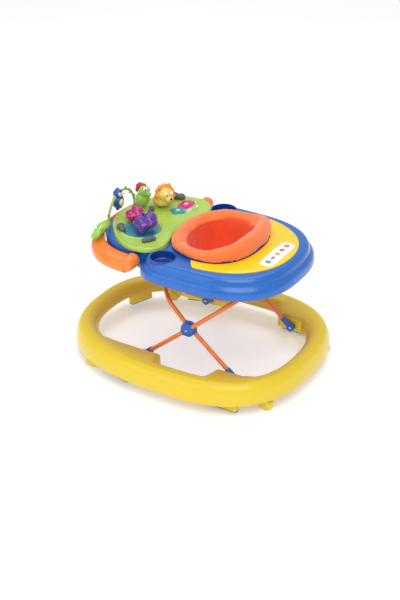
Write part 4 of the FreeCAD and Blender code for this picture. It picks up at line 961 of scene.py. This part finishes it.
# cloth under pressure, stepped through its frames; how far a point moves is capped
def puff(piece, voxel, pressure, cap, frames=20):
    remesh = piece.modifiers.new("skin", "REMESH")
    remesh.mode = "VOXEL"
    remesh.voxel_size = voxel * mm
    applyModifiers(piece)
    count = len(piece.data.vertices)
    start = np.empty(count * 3)
    piece.data.vertices.foreach_get("co", start)
    sim = piece.modifiers.new("puff", "CLOTH")
    sim.settings.quality = 6
    sim.settings.use_pressure = True
    sim.settings.uniform_pressure_force = pressure
    sim.settings.effector_weights.gravity = 0
    sim.point_cache.frame_start = 1
    sim.point_cache.frame_end = frames
    scene = bpy.context.scene
    for step in range(1, frames + 1):
        scene.frame_set(step)
    graph = bpy.context.evaluated_depsgraph_get()
    end = np.empty(count * 3)
    piece.evaluated_get(graph).data.vertices.foreach_get("co", end)
    piece.modifiers.clear()
    scene.frame_set(1)
    move = (end - start).reshape(-1, 3)
    size = np.linalg.norm(move, axis=1)
    move *= (np.minimum(size, cap * mm) / np.maximum(size, 1e-9))[:, None]
    piece.data.vertices.foreach_set("co", (start.reshape(-1, 3) + move).reshape(-1))
    print("puffed", piece.name, "furthest", round(float(size.max() * 1000), 1))
    piece.data.update()


rimPoints = rimGrid(rimSettings, seatSettings)
rim = addPiece("seat_rim_cushion", rimPoints, gridFaces(rimPoints.shape[0], rimPoints.shape[1], True, True),
               "seat_orange", "tray")
puff(rim, rimSettings["voxel"], rimSettings["pressure"], rimSettings["cap"])


# gathers, long soft folds and sewn seams, worked out from each point's angle round the seat
def creases(piece, seat):
    mesh = piece.data
    count = len(mesh.vertices)
    points = np.empty(count * 3)
    mesh.vertices.foreach_get("co", points)
    points = points.reshape(-1, 3)
    normals = np.empty(count * 3)
    mesh.vertices.foreach_get("normal", normals)
    normals = normals.reshape(-1, 3)
    x, y, z = points[:, 0] / mm, points[:, 1] / mm - seat["middle"], points[:, 2] / mm
    angle = np.arctan2(y, x)
    out = np.hypot(x / seat["halfWidth"], y / seat["reach"])
    gather = 0.9 * np.sin(46 * angle + 2.5 * np.sin(5 * angle)) * np.sin(19 * angle + 1.0)
    gather *= 0.35 + smoothStep(1.12, 1.22, out) + smoothStep(0.95, 0.86, out)
    soft = 0.9 * np.sin(7 * angle + 0.11 * z) + 0.6 * np.sin(13 * angle - 0.2 * z + 2.0)
    seams = 0 * angle
    for seamAngle in (0.78, math.pi - 0.78, -0.62, math.pi + 0.62 - turn):
        seams -= 2.2 * np.exp(-((angle - seamAngle) / 0.014) ** 2)
        seams += 0.9 * np.exp(-((np.abs(angle - seamAngle) - 0.035) / 0.018) ** 2)
    sewn = -1.6 * np.exp(-((out - 1.02) / 0.012) ** 2) * (z > 410)
    points += normals * ((gather + soft + seams + sewn) * mm)[:, None]
    mesh.vertices.foreach_set("co", points.reshape(-1))
    mesh.update()


creases(rim, seatSettings)
rounder = rim.modifiers.new("rounder", "SUBSURF")
rounder.levels = 1
rounder.render_levels = 1
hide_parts("seat_rim_pad")

slingSettings = {"levels": [(-10, -10, 413), (-13.5, -13.5, 404), (-15, -15, 385), (-17, -17, 340),
                            (-30, -26, 295), (-50, -38, 255),
                            (-72, -55, 226), (-96, -78, 212), (-118, -100, 208)],
                 "thick": 3.5, "columns": 200, "legHole": {"x": 48, "radius": 38.0, "from": (-70.0, 281.0),
                                                           "to": (60.0, 265.0)}}


# a bucket: each level is a smaller superellipse, with hanging folds that fade at the top
def slingGrid(setting, seat):
    angle = np.linspace(0, turn, setting["columns"], endpoint=False)
    levels = smoothLine(setting["levels"], 6)
    rows = []
    for wide, deep, height in levels:
        radius = eggRadius(angle, seat["halfWidth"] + wide, seat["reach"] + deep, seat["reach"] + deep, 2.3,
                           2.3)
        depth = smoothStep(400, 330, height) * smoothStep(205, 240, height)
        radius = radius + depth * (1.6 * np.sin(17 * angle + height * 0.03) + 1.1
                                   * np.sin(29 * angle - height * 0.05))
        rows.append(np.stack([radius * np.cos(angle), seat["middle"] + radius * np.sin(angle),
                              np.full(angle.shape, height)], -1))
    outside = np.array(rows)
    middle = np.array([0, seat["middle"], 0.0])
    inside = outside[::-1].copy()
    flat = np.linalg.norm((inside - middle)[..., :2], axis=-1, keepdims=True)
    inside[..., :2] -= (inside - middle)[..., :2] / flat * setting["thick"]
    inside[..., 2] += setting["thick"] * smoothStep(300, 215, inside[..., 2])
    return outside, inside


outside, inside = slingGrid(slingSettings, seatSettings)
slingStack = np.concatenate([outside[::-1], inside[::-1]])
slingPoints, slingFaces = capped(slingStack)
sling = addPiece("seat_bucket", slingPoints, slingFaces, "sling_red", "tray")
legCutters = []
for side in (-1, 1):
    hole = slingSettings["legHole"]
    path = [(side * hole["x"], *hole["from"]), (side * hole["x"], *hole["to"])]
    legCutters.append(bar("legOpening", path, hole["radius"], (0, 0, 1), "sling_red", "tray", 48))
cutAway(sling, legCutters)
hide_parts("seat_sling")
print("seat made")

# ---- floor and light ----

floorSettings = {"half": 6, "glow": 0.3, "rough": 0.9, "dark": (0.86, 0.86, 0.86, 1),
                 "pale": (0.9, 0.9, 0.9, 1)}
floorMesh = bpy.data.meshes.new("floor")
half = floorSettings["half"]
floorMesh.from_pydata([(-half, -half, 0), (half, -half, 0), (half, half, 0), (-half, half, 0)], [],
                      [(0, 1, 2, 3)])
floor = bpy.data.objects.new("floor", floorMesh)
bpy.context.scene.collection.objects.link(floor)
floorMaterial, floorTree, floorShader, floorPlace = newMaterial("paleFloor")
floorShade = ramp(floorTree, noise(floorTree, floorPlace, 2),
                  [(0.0, floorSettings["dark"]), (1.0, floorSettings["pale"])])
floorTree.links.new(floorShade, floorShader.inputs["Base Color"])
floorShader.inputs["Roughness"].default_value = floorSettings["rough"]
floorShader.inputs["Emission Color"].default_value = (1, 1, 1, 1)
floorShader.inputs["Emission Strength"].default_value = floorSettings["glow"]
floorMesh.materials.append(floorMaterial)

lightSettings = {"key": ((1.6, 1.2, 2.6), 2.2, 40), "fill": ((2.6, -1.4, 1.6), 2.4, 15),
                 "top": ((-0.6, -0.4, 3.0), 2.6, 27)}
for label, (place, size, power) in lightSettings.items():
    lamp = bpy.data.lights.new(label, "AREA")
    lamp.size = size
    lamp.energy = power
    lampObject = bpy.data.objects.new(label, lamp)
    lampObject.location = place
    lampObject.rotation_euler = (Vector((0, 0, 0.25)) - Vector(place)).to_track_quat("-Z", "Y").to_euler()
    bpy.context.scene.collection.objects.link(lampObject)
worldSettings = {"colour": (1, 1, 1, 1), "strength": 0.62}
world = bpy.data.worlds.new("studio")
world.use_nodes = True
sky = world.node_tree.nodes["Background"]
sky.inputs["Color"].default_value = worldSettings["colour"]
sky.inputs["Strength"].default_value = worldSettings["strength"]
bpy.context.scene.world = world
bpy.context.scene.view_settings.view_transform = "Standard"
print("floor and lights made")
